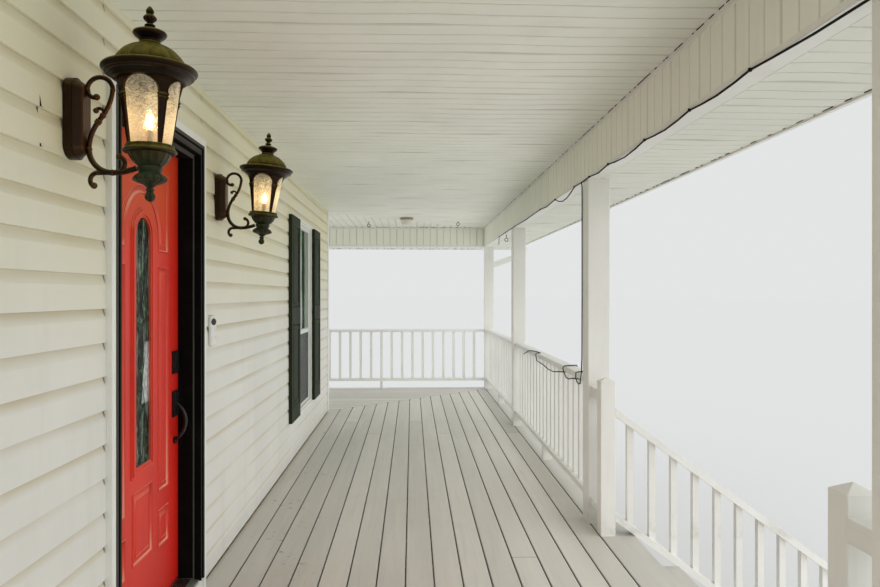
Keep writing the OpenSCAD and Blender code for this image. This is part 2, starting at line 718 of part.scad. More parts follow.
// Turned metal of a lantern: finial, cap, dome and stepped rim above, the tapered body with four
// arched windows, and the flanged bowl and drop below
module lantern_cage() {
    rotate_extrude() polygon([[0, 0], [5, -4], [10, -11], [12, -18], [10, -25], [19, -30], [21, -36],
        [17, -44], [9, -50], [8, -54], [15, -57], [15, -62], [11, -65], [28, -72], [46, -79], [49, -85],
        [45, -93], [31, -104], [29, -112], [34, -116], [33, -122], [58, -129], [80, -142], [96, -160],
        [106, -177], [110, -184], [126, -187], [136, -190], [139, -196], [136, -203], [129, -206],
        [126, -212], [117, -216], [108, -224], [101, -231], [95, -231], [95, -212], [70, -158], [0, -158]]);
    difference() {
        rotate_extrude() polygon([[102, -196], [73, -428], [68, -428], [96, -196]]);
        for (a = [0, 90, 180, 270]) rotate([0, 0, a]) lantern_window();
    }
    rotate_extrude() polygon([[0, -423], [72, -423], [80, -426], [82, -432], [78, -437], [79, -441],
        [73, -445], [66, -464], [48, -480], [34, -487], [38, -496], [34, -508], [50, -515], [53, -522],
        [46, -531], [26, -537], [14, -543], [11, -553], [15, -558], [11, -563], [14, -570], [16, -580],
        [12, -590], [0, -595]]);
}

module lantern_cages() color([0.12, 0.12, 0.08])
    for (far = [false, true]) at_lantern(far) leaned(far) lantern_cage();

module lantern_glasses() color([1, 0.85, 0.6], 0.5)
    for (far = [false, true]) at_lantern(far) leaned(far)
        rotate_extrude() polygon([[63, -422.7], [66, -422.7], [91, -216], [88, -216]]);

// Lit bulb on its candle socket
module lantern_bulbs() color([1, 0.9, 0.7])
    for (far = [false, true]) at_lantern(far) leaned(far)
        rotate_extrude() polygon([[0, -422.8], [15, -422.8], [15, -380], [11, -377], [12, -370], [16, -360],
            [18, -349], [15, -335], [9, -319], [3, -307], [0, -304]]);

module doorbell() color("white") {
    block(siding_x, siding_x + 22, bell_y - 23, bell_y + 23, deck_h + 1172, deck_h + 1336);
    translate([siding_x + 22, bell_y, deck_h + 1295]) rotate([0, 90, 0]) cylinder(r = 14, h = 4);
}

// Deck boards: they run along the front and stop at the corner's mitre
mitre = (edge_y - corner_y)/(edge_x - wall_x);

module front_deck_boards() color("tan") {
    intersection() {
        union() {
            for (i = [0 : front_boards - 1])
                block(wall_x + wall_gap + i*board_pitch, wall_x + wall_gap + i*board_pitch + board_w,
                    -near_y, edge_y, deck_h - board_t, deck_h);
            block(edge_x - border_w, edge_x, -near_y, edge_y, deck_h - board_t, deck_h);
        }
        upright(deck_h - 100, deck_h + 100) front_side(wall_x, corner_y - board_gap/2, mitre);
    }
}

module side_deck_boards() color("tan") {
    difference() {
        union() {
            for (i = [0 : side_boards - 1])
                block(side_x0, edge_x, corner_y + wall_gap + i*board_pitch,
                    corner_y + wall_gap + i*board_pitch + board_w, deck_h - board_t, deck_h);
            block(side_x0, edge_x, edge_y - border_w, edge_y, deck_h - board_t, deck_h);
        }
        upright(deck_h - 100, deck_h + 100) front_side(wall_x, corner_y + board_gap/2, mitre);
    }
}

// Painted skirt under the deck's open edges
module deck_skirt() color("white") {
    z0 = deck_h - board_t - skirt_h;
    z1 = deck_h - board_t;
    end_y = deck_nose - near_y;
    end_x = side_x0 + deck_nose;
    block(skirt_x - skirt_t, skirt_x, end_y, skirt_y - skirt_t, z0, z1);
    block(end_x, skirt_x, skirt_y - skirt_t, skirt_y, z0, z1);
    block(wall_x, skirt_x - skirt_t, end_y, end_y + skirt_t, z0, z1);
    block(end_x, end_x + skirt_t, corner_y, skirt_y - skirt_t, z0, z1);
}

joist_top = deck_h - board_t;
joist_bottom = joist_top - joist_h;

// Joists under the boards, from the wall to the skirt
module deck_joists() color("burlywood") {
    start_y = deck_nose + skirt_t - near_y;
    start_x = side_x0 + deck_nose + skirt_t;
    n = floor((corner_y - start_y)/joist_pitch);
    for (i = [0 : n])
        block(wall_x, skirt_x - skirt_t, start_y + i*joist_pitch, start_y + i*joist_pitch + joist_t,
            joist_bottom, joist_top);
    m = floor((skirt_x - skirt_t - start_x - joist_t)/joist_pitch);
    y0 = start_y + n*joist_pitch + joist_t + 0.2;
    for (i = [0 : m]) {
        x = start_x + i*joist_pitch;
        block(x, x + joist_t, x < wall_x ? corner_y : y0, skirt_y - skirt_t, joist_bottom, joist_top);
    }
}

// Beams under the joists, on the line of the posts
module deck_girders() color("burlywood") {
    g = girder_w/2;
    block(rail_x - g, rail_x + g, deck_nose + skirt_t - near_y, skirt_y - skirt_t, girder_z, joist_bottom);
    block(side_x0 + deck_nose + skirt_t, rail_x - g - 0.2, rail_y - g, rail_y + g, girder_z, joist_bottom);
}

// Piers under the beams, one below each tall post
module deck_piers() color("burlywood") {
    for (y = [post_5, post_4, post_3, post_2, post_y])
        block(post_x, post_x + post_w, y, y + post_w, 0, girder_z);
    block(post_0, post_0 + post_w, post_y, post_y + post_w, 0, girder_z);
}

module porch_posts() color("white") {
    for (y = [post_5, post_4, post_3, post_2, post_y])
        block(post_x, post_x + post_w, y, y + post_w, deck_h, beam_bottom);
    block(post_0, post_0 + post_w, post_y, post_y + post_w, deck_h, beam_bottom);
}

// Short post with a pyramid top
module newel(x, y, z0, z1) {
    block(x, x + newel_w, y, y + newel_w, z0, z1);
    intersection() {
        along_y(y, y + newel_w) polygon([[x, z1], [x + newel_w, z1], [x + newel_w/2, z1 + newel_cap]]);
        along_x(x, x + newel_w) polygon([[y, z1], [y + newel_w, z1], [y + newel_w/2, z1 + newel_cap]]);
    }
}

foot_newel_top = deck_h + stair_rail_z - slope*(foot_newel_x - rail_x0) + 55;
module newel_posts() color("white") {
    for (y = [stair_y0 - newel_w, stair_y1]) {
        newel(newel_x, y, deck_h, deck_h + newel_h);
        newel(foot_newel_x, y, 0, foot_newel_top);
    }
}

stub_z = newel_h - 120;                           // underside of the upper short rails

// A straight railing along Y between two faces, with blocks under the bottom rail
module railing(len, pitch) {
    n = ceil(len/pitch);
    step = len/n;
    w = rail_w/2;
    b = baluster_w/2;
    block(-w, w, 0, len, deck_h + rail_h - rail_t, deck_h + rail_h);
    block(-w, w, 0, len, deck_h + rail_low - rail_t, deck_h + rail_low);
    for (i = [1 : n - 1])
        block(-b, b, i*step - b, i*step + b, deck_h + rail_low, deck_h + rail_h - rail_t);
    block(-w, w, len/2 - b, len/2 + b, deck_h, deck_h + rail_low - rail_t);
}

module rail_between(y0, y1) {
    translate([rail_x, y0, 0]) railing(y1 - y0, baluster_pitch);
}

module near_rail() color("white") rail_between(post_5 + post_w, post_4);
module far_rail() color("white") rail_between(post_3 + post_w, post_2);
module corner_rail() color("white") rail_between(post_2 + post_w, post_y);

module side_rail() color("white")
    translate([post_x, rail_y, 0]) rotate([0, 0, 90]) railing(post_x - post_0 - post_w, side_pitch);

// Railings across the two ends of the porch, from the house to the end posts
module end_rails() color("white") {
    translate([post_x, post_5 + post_w/2, 0]) rotate([0, 0, 90])
        railing(post_x - wall_x - trim_t, side_pitch);
    translate([post_0 + post_w/2, corner_y + trim_t, 0]) railing(post_y - corner_y - trim_t, side_pitch);
}

// Short rails that join each newel to the tall post beside it
module stub_rails() color("white")
    for (y = [[post_4 + post_w, stair_y0 - newel_w], [stair_y1 + newel_w, post_3]]) {
        block(newel_x, newel_x + newel_w, y[0], y[1], deck_h + stub_z, deck_h + stub_z + stub_t);
        block(newel_x, newel_x + newel_w, y[0], y[1], deck_h + rail_low - rail_t, deck_h + rail_low);
    }

// A sloping rail between the upper and the lower newel, as an upright-ended bar
module sloped_rail(z_top) {
    x1 = foot_newel_x;
    drop = slope*(x1 - rail_x0);
    polygon([[rail_x0, z_top - rail_v], [rail_x0, z_top], [x1, z_top - drop], [x1, z_top - drop - rail_v]]);
}

module stair_rail(y) {
    z_top = deck_h + stair_rail_z - rail_v/2;
    z_low = deck_h + stair_low_z - rail_v/2;
    along_y(y - rail_w/2, y + rail_w/2) {
        sloped_rail(z_top + rail_v/2);
        sloped_rail(z_low + rail_v/2);
    }
    n = floor((foot_newel_x - rail_x0 - 100)/stair_pitch);
    for (i = [0 : n]) {
        x = rail_x0 + 97 + i*stair_pitch - baluster_w/2;
        z = -slope*(x - rail_x0);
        along_y(y - baluster_w/2, y + baluster_w/2)
            polygon([[x, z_low + z], [x, z_top + z], [x + baluster_w, z_top + z - slope*baluster_w],
                [x + baluster_w, z_low + z - slope*baluster_w]]);
    }
}

module stair_rails() color("white")
    for (y = [stair_y0 - rail_w/2, stair_y1 + rail_w/2]) stair_rail(y);

// Notched stringers under the steps, from the skirt to the ground
module stringer_outline() {
    steps = risers - 1;
    depth = 250;
    notches = [for (k = [1 : steps], p = [0, 1])
        [skirt_x + (k - 1 + p)*tread_run - (k - 1 + p > 0 ? riser_t : 0), deck_h - k*rise - tread_t]];
    polygon(concat(notches, [[stair_x1 - riser_t, 0], [stair_x1 - riser_t - depth, 0],
        [skirt_x, deck_h - rise - tread_t - depth]]));
}

module stair_stringers() color("burlywood")
    for (y = [stair_y0, stair_y - stringer_t/2, stair_y1 - stringer_t])
        along_y(y, y + stringer_t) stringer_outline();

module stair_treads() color("tan")
    for (k = [1 : risers - 1])
        block(skirt_x + (k - 1)*tread_run, skirt_x + k*tread_run + nosing, stair_y0, stair_y1,
            deck_h - k*rise - tread_t, deck_h - k*rise);

module stair_risers() color("white")
    for (k = [1 : risers - 1])
        block(skirt_x + k*tread_run - riser_t, skirt_x + k*tread_run, stair_y0, stair_y1,
            k == risers - 1 ? 0 : deck_h - (k + 1)*rise, deck_h - k*rise - tread_t);

// Beams on the posts, round the outside of the porch and back to the walls
module porch_beams() color("ivory") {
    z1 = ceiling_bottom;
    block(post_x, post_x + beam_w, post_5, post_y + beam_w, beam_bottom, z1);
    block(post_0, post_x, post_y, post_y + beam_w, beam_bottom, z1);
    block(siding_x, post_x, post_5, post_5 + beam_w, beam_bottom, z1);
    block(post_0, post_0 + beam_w, corner_y + lap_t, post_y, beam_bottom, z1);
}

// Strips under the ceiling's edge along the beams, and the cover over the corner's seam
module ceiling_trim() color("white") {
    z0 = ceiling_bottom - cove_h;
    t = cove_t;
    block(post_x - t, post_x, post_5 + beam_w, post_y, z0, ceiling_bottom);
    block(post_0 + beam_w, post_x - t, post_y - t, post_y, z0, ceiling_bottom);
    block(siding_x, post_x - t, post_5 + beam_w, post_5 + beam_w + t, z0, ceiling_bottom);
    block(post_0 + beam_w, post_0 + beam_w + t, corner_y + lap_t, post_y - t, z0, ceiling_bottom);
    intersection() {
        block(siding_x + t, post_x - t - 0.3, corner_y + t, post_y - t - 0.3,
            ceiling_bottom - 3, ceiling_bottom);
        upright(ceiling_bottom - 9, ceiling_bottom + 9)
            translate([wall_x, corner_y]) rotate([0, 0, 45]) translate([-99, -20]) square([9000, 40]);
    }
}

// Ceiling panels over the deck, split along the corner's mitre
module front_ceiling() color("ivory") intersection() {
    block(wall_x, post_x + beam_w, post_5, post_y + beam_w, ceiling_bottom, ceiling_bottom + panel_t);
    upright(ceiling_bottom - 1, ceiling_bottom + 99) front_side(wall_x, corner_y, 1);
}

module side_ceiling() color("ivory") difference() {
    block(post_0, post_x + beam_w, corner_y, post_y + beam_w, ceiling_bottom, ceiling_bottom + panel_t);
    upright(ceiling_bottom - 1, ceiling_bottom + 99) front_side(wall_x, corner_y, 1);
}

// Soffit panels outside the beams
module eave_soffit() color("ivory") {
    z0 = beam_bottom;
    x0 = post_x + beam_w;
    y0 = post_y + beam_w;
    block(x0, fascia_x - fascia_t, roof_y0, y0, z0, z0 + panel_t);
    block(roof_x0, fascia_x - fascia_t, y0, fascia_y - fascia_t, z0, z0 + panel_t);
}

module fascia_board() color("white") {
    z0 = beam_bottom - fascia_drop;
    block(fascia_x - fascia_t, fascia_x, roof_y0, fascia_y, z0, eave_z);
    block(roof_x0, fascia_x - fascia_t, fascia_y - fascia_t, fascia_y, z0, eave_z);
}

// Open gutter along the eaves
module gutter_section() {
    difference() {
        polygon([[0, 0], [gutter_w*0.6, 0], [gutter_w, gutter_h*0.55], [gutter_w, gutter_h], [0, gutter_h]]);
        polygon([[gutter_t, gutter_t], [gutter_w*0.6 - 1, gutter_t],
            [gutter_w - gutter_t, gutter_h*0.55 + 1], [gutter_w - gutter_t, gutter_h + 1],
            [gutter_t, gutter_h + 1]]);
    }
}

gutter_z = eave_z - gutter_h - 10;
module gutter() color("white") {
    joint = 0.2;
    difference() {
        translate([fascia_x, 0, gutter_z]) along_y(roof_y0, fascia_y + gutter_w) gutter_section();
        upright(0, 9000) mitre_wedge(fascia_x, fascia_y - joint);
    }
    intersection() {
        translate([0, fascia_y, gutter_z]) along_x(roof_x0, fascia_x + gutter_w) gutter_section();
        upright(0, 9000) mitre_wedge(fascia_x, fascia_y);
    }
}

// Ground plan on the side deck's side of a 45 degree line through (px, py)
module mitre_wedge(px, py) {
    polygon([[px - 900, py - 900], [px + 900, py + 900], [px - 20000, py + 900], [px - 20000, py - 900]]);
}

// Downspout: from the gutter's outlet, back under the soffit to the corner post, down behind it
// and out over the deck's edge
module downspout() color("white") {
    y0 = post_y + post_w;
    x_post = post_x + post_w/2;
    x_out = fascia_x + gutter_w/2;
    w = spout_w/2;
    z_bend = beam_bottom - 325;
    outlet = gutter_w*0.3 - 6;
    along_y(y0, y0 + spout_d)
        polygon([[x_post - w, deck_h + 170], [x_post - w, z_bend + 60], [x_out - w, beam_bottom - 75],
            [x_out - w, gutter_z - 40], [fascia_x + 4, gutter_z - 20], [fascia_x + 4, gutter_z],
            [fascia_x + 4 + 2*outlet, gutter_z], [fascia_x + 4 + 2*outlet, gutter_z - 20],
            [x_out + w, gutter_z - 50], [x_out + w, beam_bottom - 125],
            [x_post + w, z_bend], [x_post + w, deck_h + 170]]);
    along_x(x_post - w, x_post + w)
        polygon([[y0, deck_h + 170], [y0 + spout_d, deck_h + 170], [edge_y + 60, deck_h + 100],
            [edge_y + 60, deck_h + 100 - spout_d], [y0 + 20, deck_h + 120]]);
}

// Roof: two shingled slopes that meet at the hip
module roof() color("dimgray") {
    z_wall = eave_z + roof_pitch*(eave_x - wall_x);
    z_side = eave_z + roof_pitch*(eave_y - corner_y);
    intersection() {
        along_y(roof_y0, eave_y)
            polygon([[eave_x, eave_z], [eave_x, eave_z + roof_t],
                [wall_x, z_wall + roof_t], [wall_x, z_wall]]);
        upright(0, 9000) front_side(eave_x, eave_y, 1);
    }
    difference() {
        along_x(roof_x0, eave_x)
            polygon([[eave_y, eave_z], [eave_y, eave_z + roof_t],
                [corner_y, z_side + roof_t], [corner_y, z_side]]);
        upright(0, 9000) front_side(eave_x, eave_y, 1);
    }
}

// The clad gables over the end beams, and the rake boards under the roof's two ends
module gable_ends() color("ivory") {
    z0 = ceiling_bottom + panel_t;
    x1 = eave_x - (z0 - eave_z)/roof_pitch;
    y1 = eave_y - (z0 - eave_z)/roof_pitch;
    z_wall = eave_z + roof_pitch*(eave_x - siding_x) - 0.2;
    z_side = eave_z + roof_pitch*(eave_y - corner_y - lap_t) - 0.2;
    h = fascia_h - fascia_drop;
    along_y(post_5, post_5 + 20)
        polygon([[siding_x, z0], [x1 - 1, z0], [siding_x, z_wall]]);
    along_x(post_0, post_0 + 20)
        polygon([[corner_y + lap_t, z0], [y1 - 1, z0], [corner_y + lap_t, z_side]]);
    z_end = eave_z + roof_pitch*(drip + fascia_t) - 0.2;
    along_y(roof_y0, roof_y0 + fascia_t)
        polygon([[siding_x, z_wall - h], [siding_x, z_wall], [fascia_x - fascia_t, z_end],
            [fascia_x - fascia_t, z_end - h]]);
    along_x(roof_x0, roof_x0 + fascia_t)
        polygon([[corner_y + lap_t, z_side - h], [corner_y + lap_t, z_side], [fascia_y - fascia_t, z_end],
            [fascia_y - fascia_t, z_end - h]]);
}

light_x = wall_x + 973;
light_y = corner_y + 676;
module ceiling_light() color("white") {
    r = dome_d/2;
    translate([light_x, light_y, ceiling_bottom]) rotate_extrude()
        polygon([[0, 0], [r, 0], [r, -dome_h*0.13], [r*0.95, -dome_h*0.19], [r*0.9, -dome_h*0.24],
            [r*0.7, -dome_h*0.86], [r*0.62, -dome_h*0.97], [r*0.3, -dome_h], [0, -dome_h]]);
}

// A ring on a shank, hanging from a surface
module ring_hook(x, y, z, shank) {
    bar = hook_d/10;
    translate([x, y, z]) {
        translate([0, 0, -3]) cylinder(r = 2.5*bar, h = 3);
        translate([0, 0, -shank]) cylinder(r = bar, h = shank);
        translate([0, 0, -shank - hook_d/2]) rotate([90, 0, 0]) rotate_extrude()
            translate([hook_d/2, 0]) circle(r = bar, $fn = 16);
    }
}

// Two hooks in the ceiling near the corner and one under the beam
module ceiling_hooks() color("silver") {
    run = post_y - light_y;
    bay = post_y - post_2 - post_w;
    ring_hook(light_x*0.503, light_y + run*0.405, ceiling_bottom, 30);
    ring_hook(post_x*0.794, light_y + run*0.337, ceiling_bottom, 15);
    ring_hook(post_x + beam_w/2, post_2 + post_w + bay*0.25, beam_bottom, 40);
}

// Direction from one point of a route to the next, and a ring of points square to it
function unit(v) = v/norm(v);
function tangent(r, i) = unit(r[min(i + 1, len(r) - 1)] - r[max(i - 1, 0)]);
function side_of(t) = unit(cross(t, abs(t[2]) > 0.9 ? [1, 0, 0] : [0, 0, 1]));
function ring(c, t, rad, n) = let (u = side_of(t), v = cross(u, t))
    [for (k = [0 : n - 1]) c + rad*(cos(360*k/n)*u + sin(360*k/n)*v)];

// A closed tube along a route of points
module tube(route, rad, n = 8) {
    m = len(route);
    points = [for (i = [0 : m - 1]) each ring(route[i], tangent(route, i), rad, n)];
    sides = [for (i = [0 : m - 2], k = [0 : n - 1])
        [i*n + k, i*n + (k + 1)%n, (i + 1)*n + (k + 1)%n, (i + 1)*n + k]];
    ends = [[for (k = [n - 1 : -1 : 0]) k], [for (k = [0 : n - 1]) (m - 1)*n + k]];
    polyhedron(points, concat(sides, ends));
}

// The cable's route along the beam: places along Y and how far it hangs below its clips there
beam_route = [[-4700, 0], [-3700, 20], [-2900, 0], [-2400, 24], [-1900, 0],
    [-1750, 13], [-1450, 22], [-1100, 18], [-850, 7], [-730, 0], [-620, 8], [-470, 13], [-330, 8], [-220, 0],
    [-90, 10], [60, 15], [210, 9], [330, 0], [470, 13], [650, 20], [830, 12], [960, 0],
    [1180, 13], [1390, 0], [1600, 4], [1800, 0], [1890, 22], [2030, 44], [2170, 50], [2320, 32], [2460, 0],
    [2800, 14], [3100, 0], [3900, 8], [4600, 0], [5400, 0], [6000, 0]];
// The branch's route: away from the post's corner, along the near railing's top rail and round it,
// as distances from the rail's inner top edge
branch_route = [[10, 20, 1266], [11, 6, 1236], [11, 3, 1180], [11, 3, 500], [10, 4, 120], [8, 12, 20],
    [6, 30, -20], [10, 52, -50], [16, 120, -62], [20, 190, -54], [20, 222, -30], [22, 228, 2],
    [40, 238, 6], [84, 246, 7], [130, 254, 8], [137, 262, -4], [134, 274, -42], [116, 288, -48],
    [60, 304, -50], [22, 340, -50], [15, 420, -64], [14, 500, -61], [16, 580, -38], [20, 640, -8],
    [34, 652, 6], [84, 664, 7], [130, 674, 8], [137, 684, -4], [134, 700, -42], [110, 716, -48],
    [50, 740, -48], [18, 790, -52], [11, 950, -69], [10, 1150, -72], [11, 1400, -56], [15, 1720, -54],
    [20, 1785, -28], [22, 1803, 2], [40, 1818, 6], [68, 1832, 6], [60, 1960, 6], [32, 2100, 5],
    [20, 2210, -6], [18, 2320, -30], [18, 2470, -56]];

// Clipped under the beam's inner edge; the branch runs down the post and round the railing
module string_cable() color([0.1, 0.1, 0.1]) {
    r = cable_d/2;
    x = post_x - r - 0.3;
    z = beam_bottom + r;
    z_rail = deck_h + rail_h;
    y_post = post_3 + post_w;
    tube(concat([for (q = beam_route) [x, q[0], z - q[1]]], [[x, 6030, z - 40], [x, 6035, z - 100]]), r);
    tube([for (q = branch_route) [x - 10 + q[0], y_post + q[1], z_rail + q[2]]], r);
    for (q = beam_route)
        if (q[1] == 0) block(post_x - 2*r - 2.3, post_x, q[0] - 4, q[0] + 4, z - r - 2, z + r + 2);
}

front_foundation();
side_foundation();
front_wall();
wall_infill();
side_wall();
front_siding();
side_siding();
wall_trim();
door_frame();
door_casing();
door_threshold();
door_hinges();
front_door();
leaf_hinges();
door_lite_frame();
door_glass();
door_handle_set();
window_frame();
window_sashes();
window_glass();
window_screen();
shutters();
lantern_brackets();
lantern_cages();
lantern_glasses();
lantern_bulbs();
doorbell();
front_deck_boards();
side_deck_boards();
deck_skirt();
deck_joists();
deck_girders();
deck_piers();
porch_posts();
newel_posts();
near_rail();
far_rail();
corner_rail();
side_rail();
end_rails();
stub_rails();
stair_rails();
stair_stringers();
stair_treads();
stair_risers();
porch_beams();
front_ceiling();
side_ceiling();
ceiling_trim();
eave_soffit();
fascia_board();
gutter();
downspout();
roof();
gable_ends();
ceiling_light();
ceiling_hooks();
string_cable();
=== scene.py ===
"""Finished surfaces of a covered front porch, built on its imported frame.

Every shape is a grid or a profile carried along a path, worked out with numpy as whole arrays.
Places come from the boxes of the frame's nodes; sizes of boards, grooves and bars are settings.
"""

import json
import math

import bpy
import numpy as np
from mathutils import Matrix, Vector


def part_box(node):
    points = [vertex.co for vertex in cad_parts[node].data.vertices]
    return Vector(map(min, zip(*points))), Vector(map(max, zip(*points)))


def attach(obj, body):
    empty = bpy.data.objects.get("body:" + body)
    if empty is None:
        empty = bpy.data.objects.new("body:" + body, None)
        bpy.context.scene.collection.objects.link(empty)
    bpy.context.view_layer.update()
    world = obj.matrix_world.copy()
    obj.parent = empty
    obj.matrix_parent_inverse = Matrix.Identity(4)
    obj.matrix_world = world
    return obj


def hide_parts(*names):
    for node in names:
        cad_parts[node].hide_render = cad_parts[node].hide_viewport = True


bl_info = {
    "name": "Front Porch Finish",
    "version": (1, 0, 0),
    "blender": (4, 5, 0),
    "location": "View3D > Sidebar > Porch",
    "description": "Builds the boards, railings, ceiling, door, lanterns and roof of a front porch",
    "category": "Object",
}

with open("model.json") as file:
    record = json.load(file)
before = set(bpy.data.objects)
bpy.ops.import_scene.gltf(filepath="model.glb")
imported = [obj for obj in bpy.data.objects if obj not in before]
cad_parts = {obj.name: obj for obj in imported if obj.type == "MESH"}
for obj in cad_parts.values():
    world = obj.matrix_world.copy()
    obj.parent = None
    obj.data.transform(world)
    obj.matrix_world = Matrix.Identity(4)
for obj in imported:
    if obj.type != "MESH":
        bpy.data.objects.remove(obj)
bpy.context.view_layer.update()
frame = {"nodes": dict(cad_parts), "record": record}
PORCH, DOOR = "porch", "door_leaf"


# Places taken from the frame


def corners(node):
    """Lowest and highest corner of a frame node, as arrays."""
    low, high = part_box(node)
    return np.array(low), np.array(high)


class Plan:
    """Lines of the porch that several pieces share, read off the frame's nodes."""

    deck_low, deck_high = corners("front_deck_boards")
    side_low, side_high = corners("side_deck_boards")
    post_low, post_high = corners("porch_posts")
    wall_x = corners("front_wall")[1][0]
    corner_y = corners("side_wall")[1][1]
    siding_x = corners("front_siding")[1][0]
    lap_z = corners("front_siding")[0][2]
    deck_z = deck_high[2]
    beam_z = post_high[2]
    ceiling_z = corners("front_ceiling")[0][2]
    leaf_low, leaf_high = corners("front_door")
    edge_x, edge_y = deck_high[0], side_high[1]
    mitre = (edge_y - corner_y) / (edge_x - wall_x)


# Meshes from whole arrays


class Surface:
    """Gathers closed shells of one piece and writes them into one mesh."""

    def __init__(self):
        self.points, self.polygons, self.tones, self.count = [], [], [], 0

    def add(self, points, polygons, tone=0.0):
        """Adds a shell, turned over where its signed volume, a sum of a.(b x c) over fans, is negative."""
        points = np.asarray(points, float)
        centre = points.mean(0)
        local = points - centre
        volume = 0.0
        for group in polygons:
            for k in range(1, group.shape[1] - 1):
                cross = np.cross(local[group[:, k]], local[group[:, k + 1]])
                volume += np.einsum("ij,ij->", local[group[:, 0]], cross)
        for group in polygons:
            self.polygons.append((group[:, ::-1] if volume < 0 else group) + self.count)
        self.points.append(points)
        self.tones.append(np.broadcast_to(np.asarray(tone, float), len(points)))
        self.count += len(points)
        return self

    def piece(self, name, finish, body=PORCH, replaces=(), smooth=None):
        """Writes the mesh, its tone attribute and its finish, and hangs the piece on a body."""
        mesh = bpy.data.meshes.new(name)
        faces = [face for group in self.polygons for face in group.tolist()]
        mesh.from_pydata(np.concatenate(self.points).tolist(), [], faces)
        tone = mesh.attributes.new("tone", "FLOAT", "POINT")
        tone.data.foreach_set("value", np.concatenate(self.tones).astype(np.float32))
        if smooth is not None:
            mesh.shade_smooth()
            mesh.set_sharp_from_angle(angle=math.radians(smooth))
        mesh.materials.append(finish_of(finish))
        made = bpy.data.objects.new(name, mesh)
        bpy.context.scene.collection.objects.link(made)
        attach(made, body)
        if replaces:
            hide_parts(*replaces)
        return made


def loft(rings, ends=True, loop=False):
    """Joins rings[i][j], i along and j round, into quads; flat ends close it, or the last ring meets
    the first when it is a loop."""
    n, k, _ = rings.shape
    i = np.arange(n if loop else n - 1)[:, None]
    j = np.arange(k)[None, :]
    nxt, right = (i + 1) % n, (j + 1) % k
    quads = np.stack([i * k + j, i * k + right, nxt * k + right, nxt * k + j], -1).reshape(-1, 4)
    groups = [quads]
    if ends and not loop:
        groups += [np.arange(k)[None, ::-1], ((n - 1) * k + np.arange(k))[None]]
    return rings.reshape(-1, 3), groups


def eased_boxes(low, high, ease):
    """Boxes with every edge and corner cut off by a small flat. Each corner has three points, one on
    each of its faces, inset by the ease along the other two axes."""
    low, high = np.atleast_2d(np.asarray(low, float)), np.atleast_2d(np.asarray(high, float))
    bits = np.array([[(c >> a) & 1 for a in range(3)] for c in range(8)])
    unit = np.repeat(bits, 3, axis=0)
    shift = np.where(np.tile(np.eye(3, dtype=int), (8, 1)) == 1, 0, 1 - 2 * unit)
    points = low[:, None] + (high - low)[:, None] * unit[None] + ease * shift[None]
    quads, tris = [], [[3 * v, 3 * v + 1, 3 * v + 2] for v in range(8)]
    for a in range(3):
        b, c = (a + 1) % 3, (a + 2) % 3
        for side in (0, 1):
            at = [side << a | p << b | q << c for p, q in ((0, 0), (1, 0), (1, 1), (0, 1))]
            quads.append([3 * v + a for v in at])
            for other in (0, 1):
                v0 = side << b | other << c
                v1 = v0 | 1 << a
                quads.append([3 * v0 + b, 3 * v1 + b, 3 * v1 + c, 3 * v0 + c])
    template = points[0] - points[0].mean(0)

    def outward(face):
        a, b, c = template[face[:3]]
        return face if np.dot(np.cross(b - a, c - a), template[face].mean(0)) > 0 else face[::-1]

    quads, tris = np.array([outward(f) for f in quads]), np.array([outward(f) for f in tris])
    step = 24 * np.arange(len(low))[:, None, None]
    return points.reshape(-1, 3), [(quads + step).reshape(-1, 4), (tris + step).reshape(-1, 3)]


def eased_rectangle(width, height, ease):
    """Eight points round a rectangle centred on 0, its corners cut by the ease."""
    w, h = width / 2, height / 2
    return np.array([(-w + ease, -h), (w - ease, -h), (w, -h + ease), (w, h - ease),
                     (w - ease, h), (-w + ease, h), (-w, h - ease), (-w, -h + ease)])


def on_axis(section, place, axis, at):
    """Lays a flat section square to an axis: its two directions are the other axes in their order."""
    out = np.zeros((len(section), 3))
    out[:, [k for k in range(3) if k != axis]] = section + place
    out[:, axis] = at
    return out


def bar(section, place, axis, start, stop):
    """A straight bar of one section between two stations of an axis."""
    return loft(np.stack([on_axis(section, place, axis, start), on_axis(section, place, axis, stop)]))


def leaned(points, lean, pivot):
    """Turns points about the Y direction through a pivot, by an angle in degrees."""
    c, s = math.cos(math.radians(lean)), math.sin(math.radians(lean))
    local = points - np.array(pivot)
    out = local.copy()
    out[..., 0] = c * local[..., 0] + s * local[..., 2]
    out[..., 2] = -s * local[..., 0] + c * local[..., 2]
    return out + np.array(pivot)


def tube(path, radius, sides, loop=False):
    """Round bar along points: a circle carried in the plane square to the path's direction, which is
    the difference of its neighbours."""
    path = np.asarray(path, float)
    if loop:
        ahead = np.roll(path, -1, 0) - np.roll(path, 1, 0)
    else:
        ahead = np.gradient(path, axis=0)
    ahead /= np.linalg.norm(ahead, axis=1)[:, None]
    up = np.where(np.abs(ahead[:, 2:3]) > 0.9, np.array([[1.0, 0, 0]]), np.array([[0, 0, 1.0]]))
    if np.ptp(path[:, 0]) < 1e-6:
        up = np.broadcast_to(np.array([[1.0, 0, 0]]), path.shape)
    side = np.cross(ahead, up)
    side /= np.linalg.norm(side, axis=1)[:, None]
    third = np.cross(side, ahead)
    angle = np.linspace(0, 2 * math.pi, sides, endpoint=False)
    circle = np.cos(angle)[:, None] * side[:, None] + np.sin(angle)[:, None] * third[:, None]
    rings = path[:, None] + radius * circle
    return loft(rings, loop=loop)


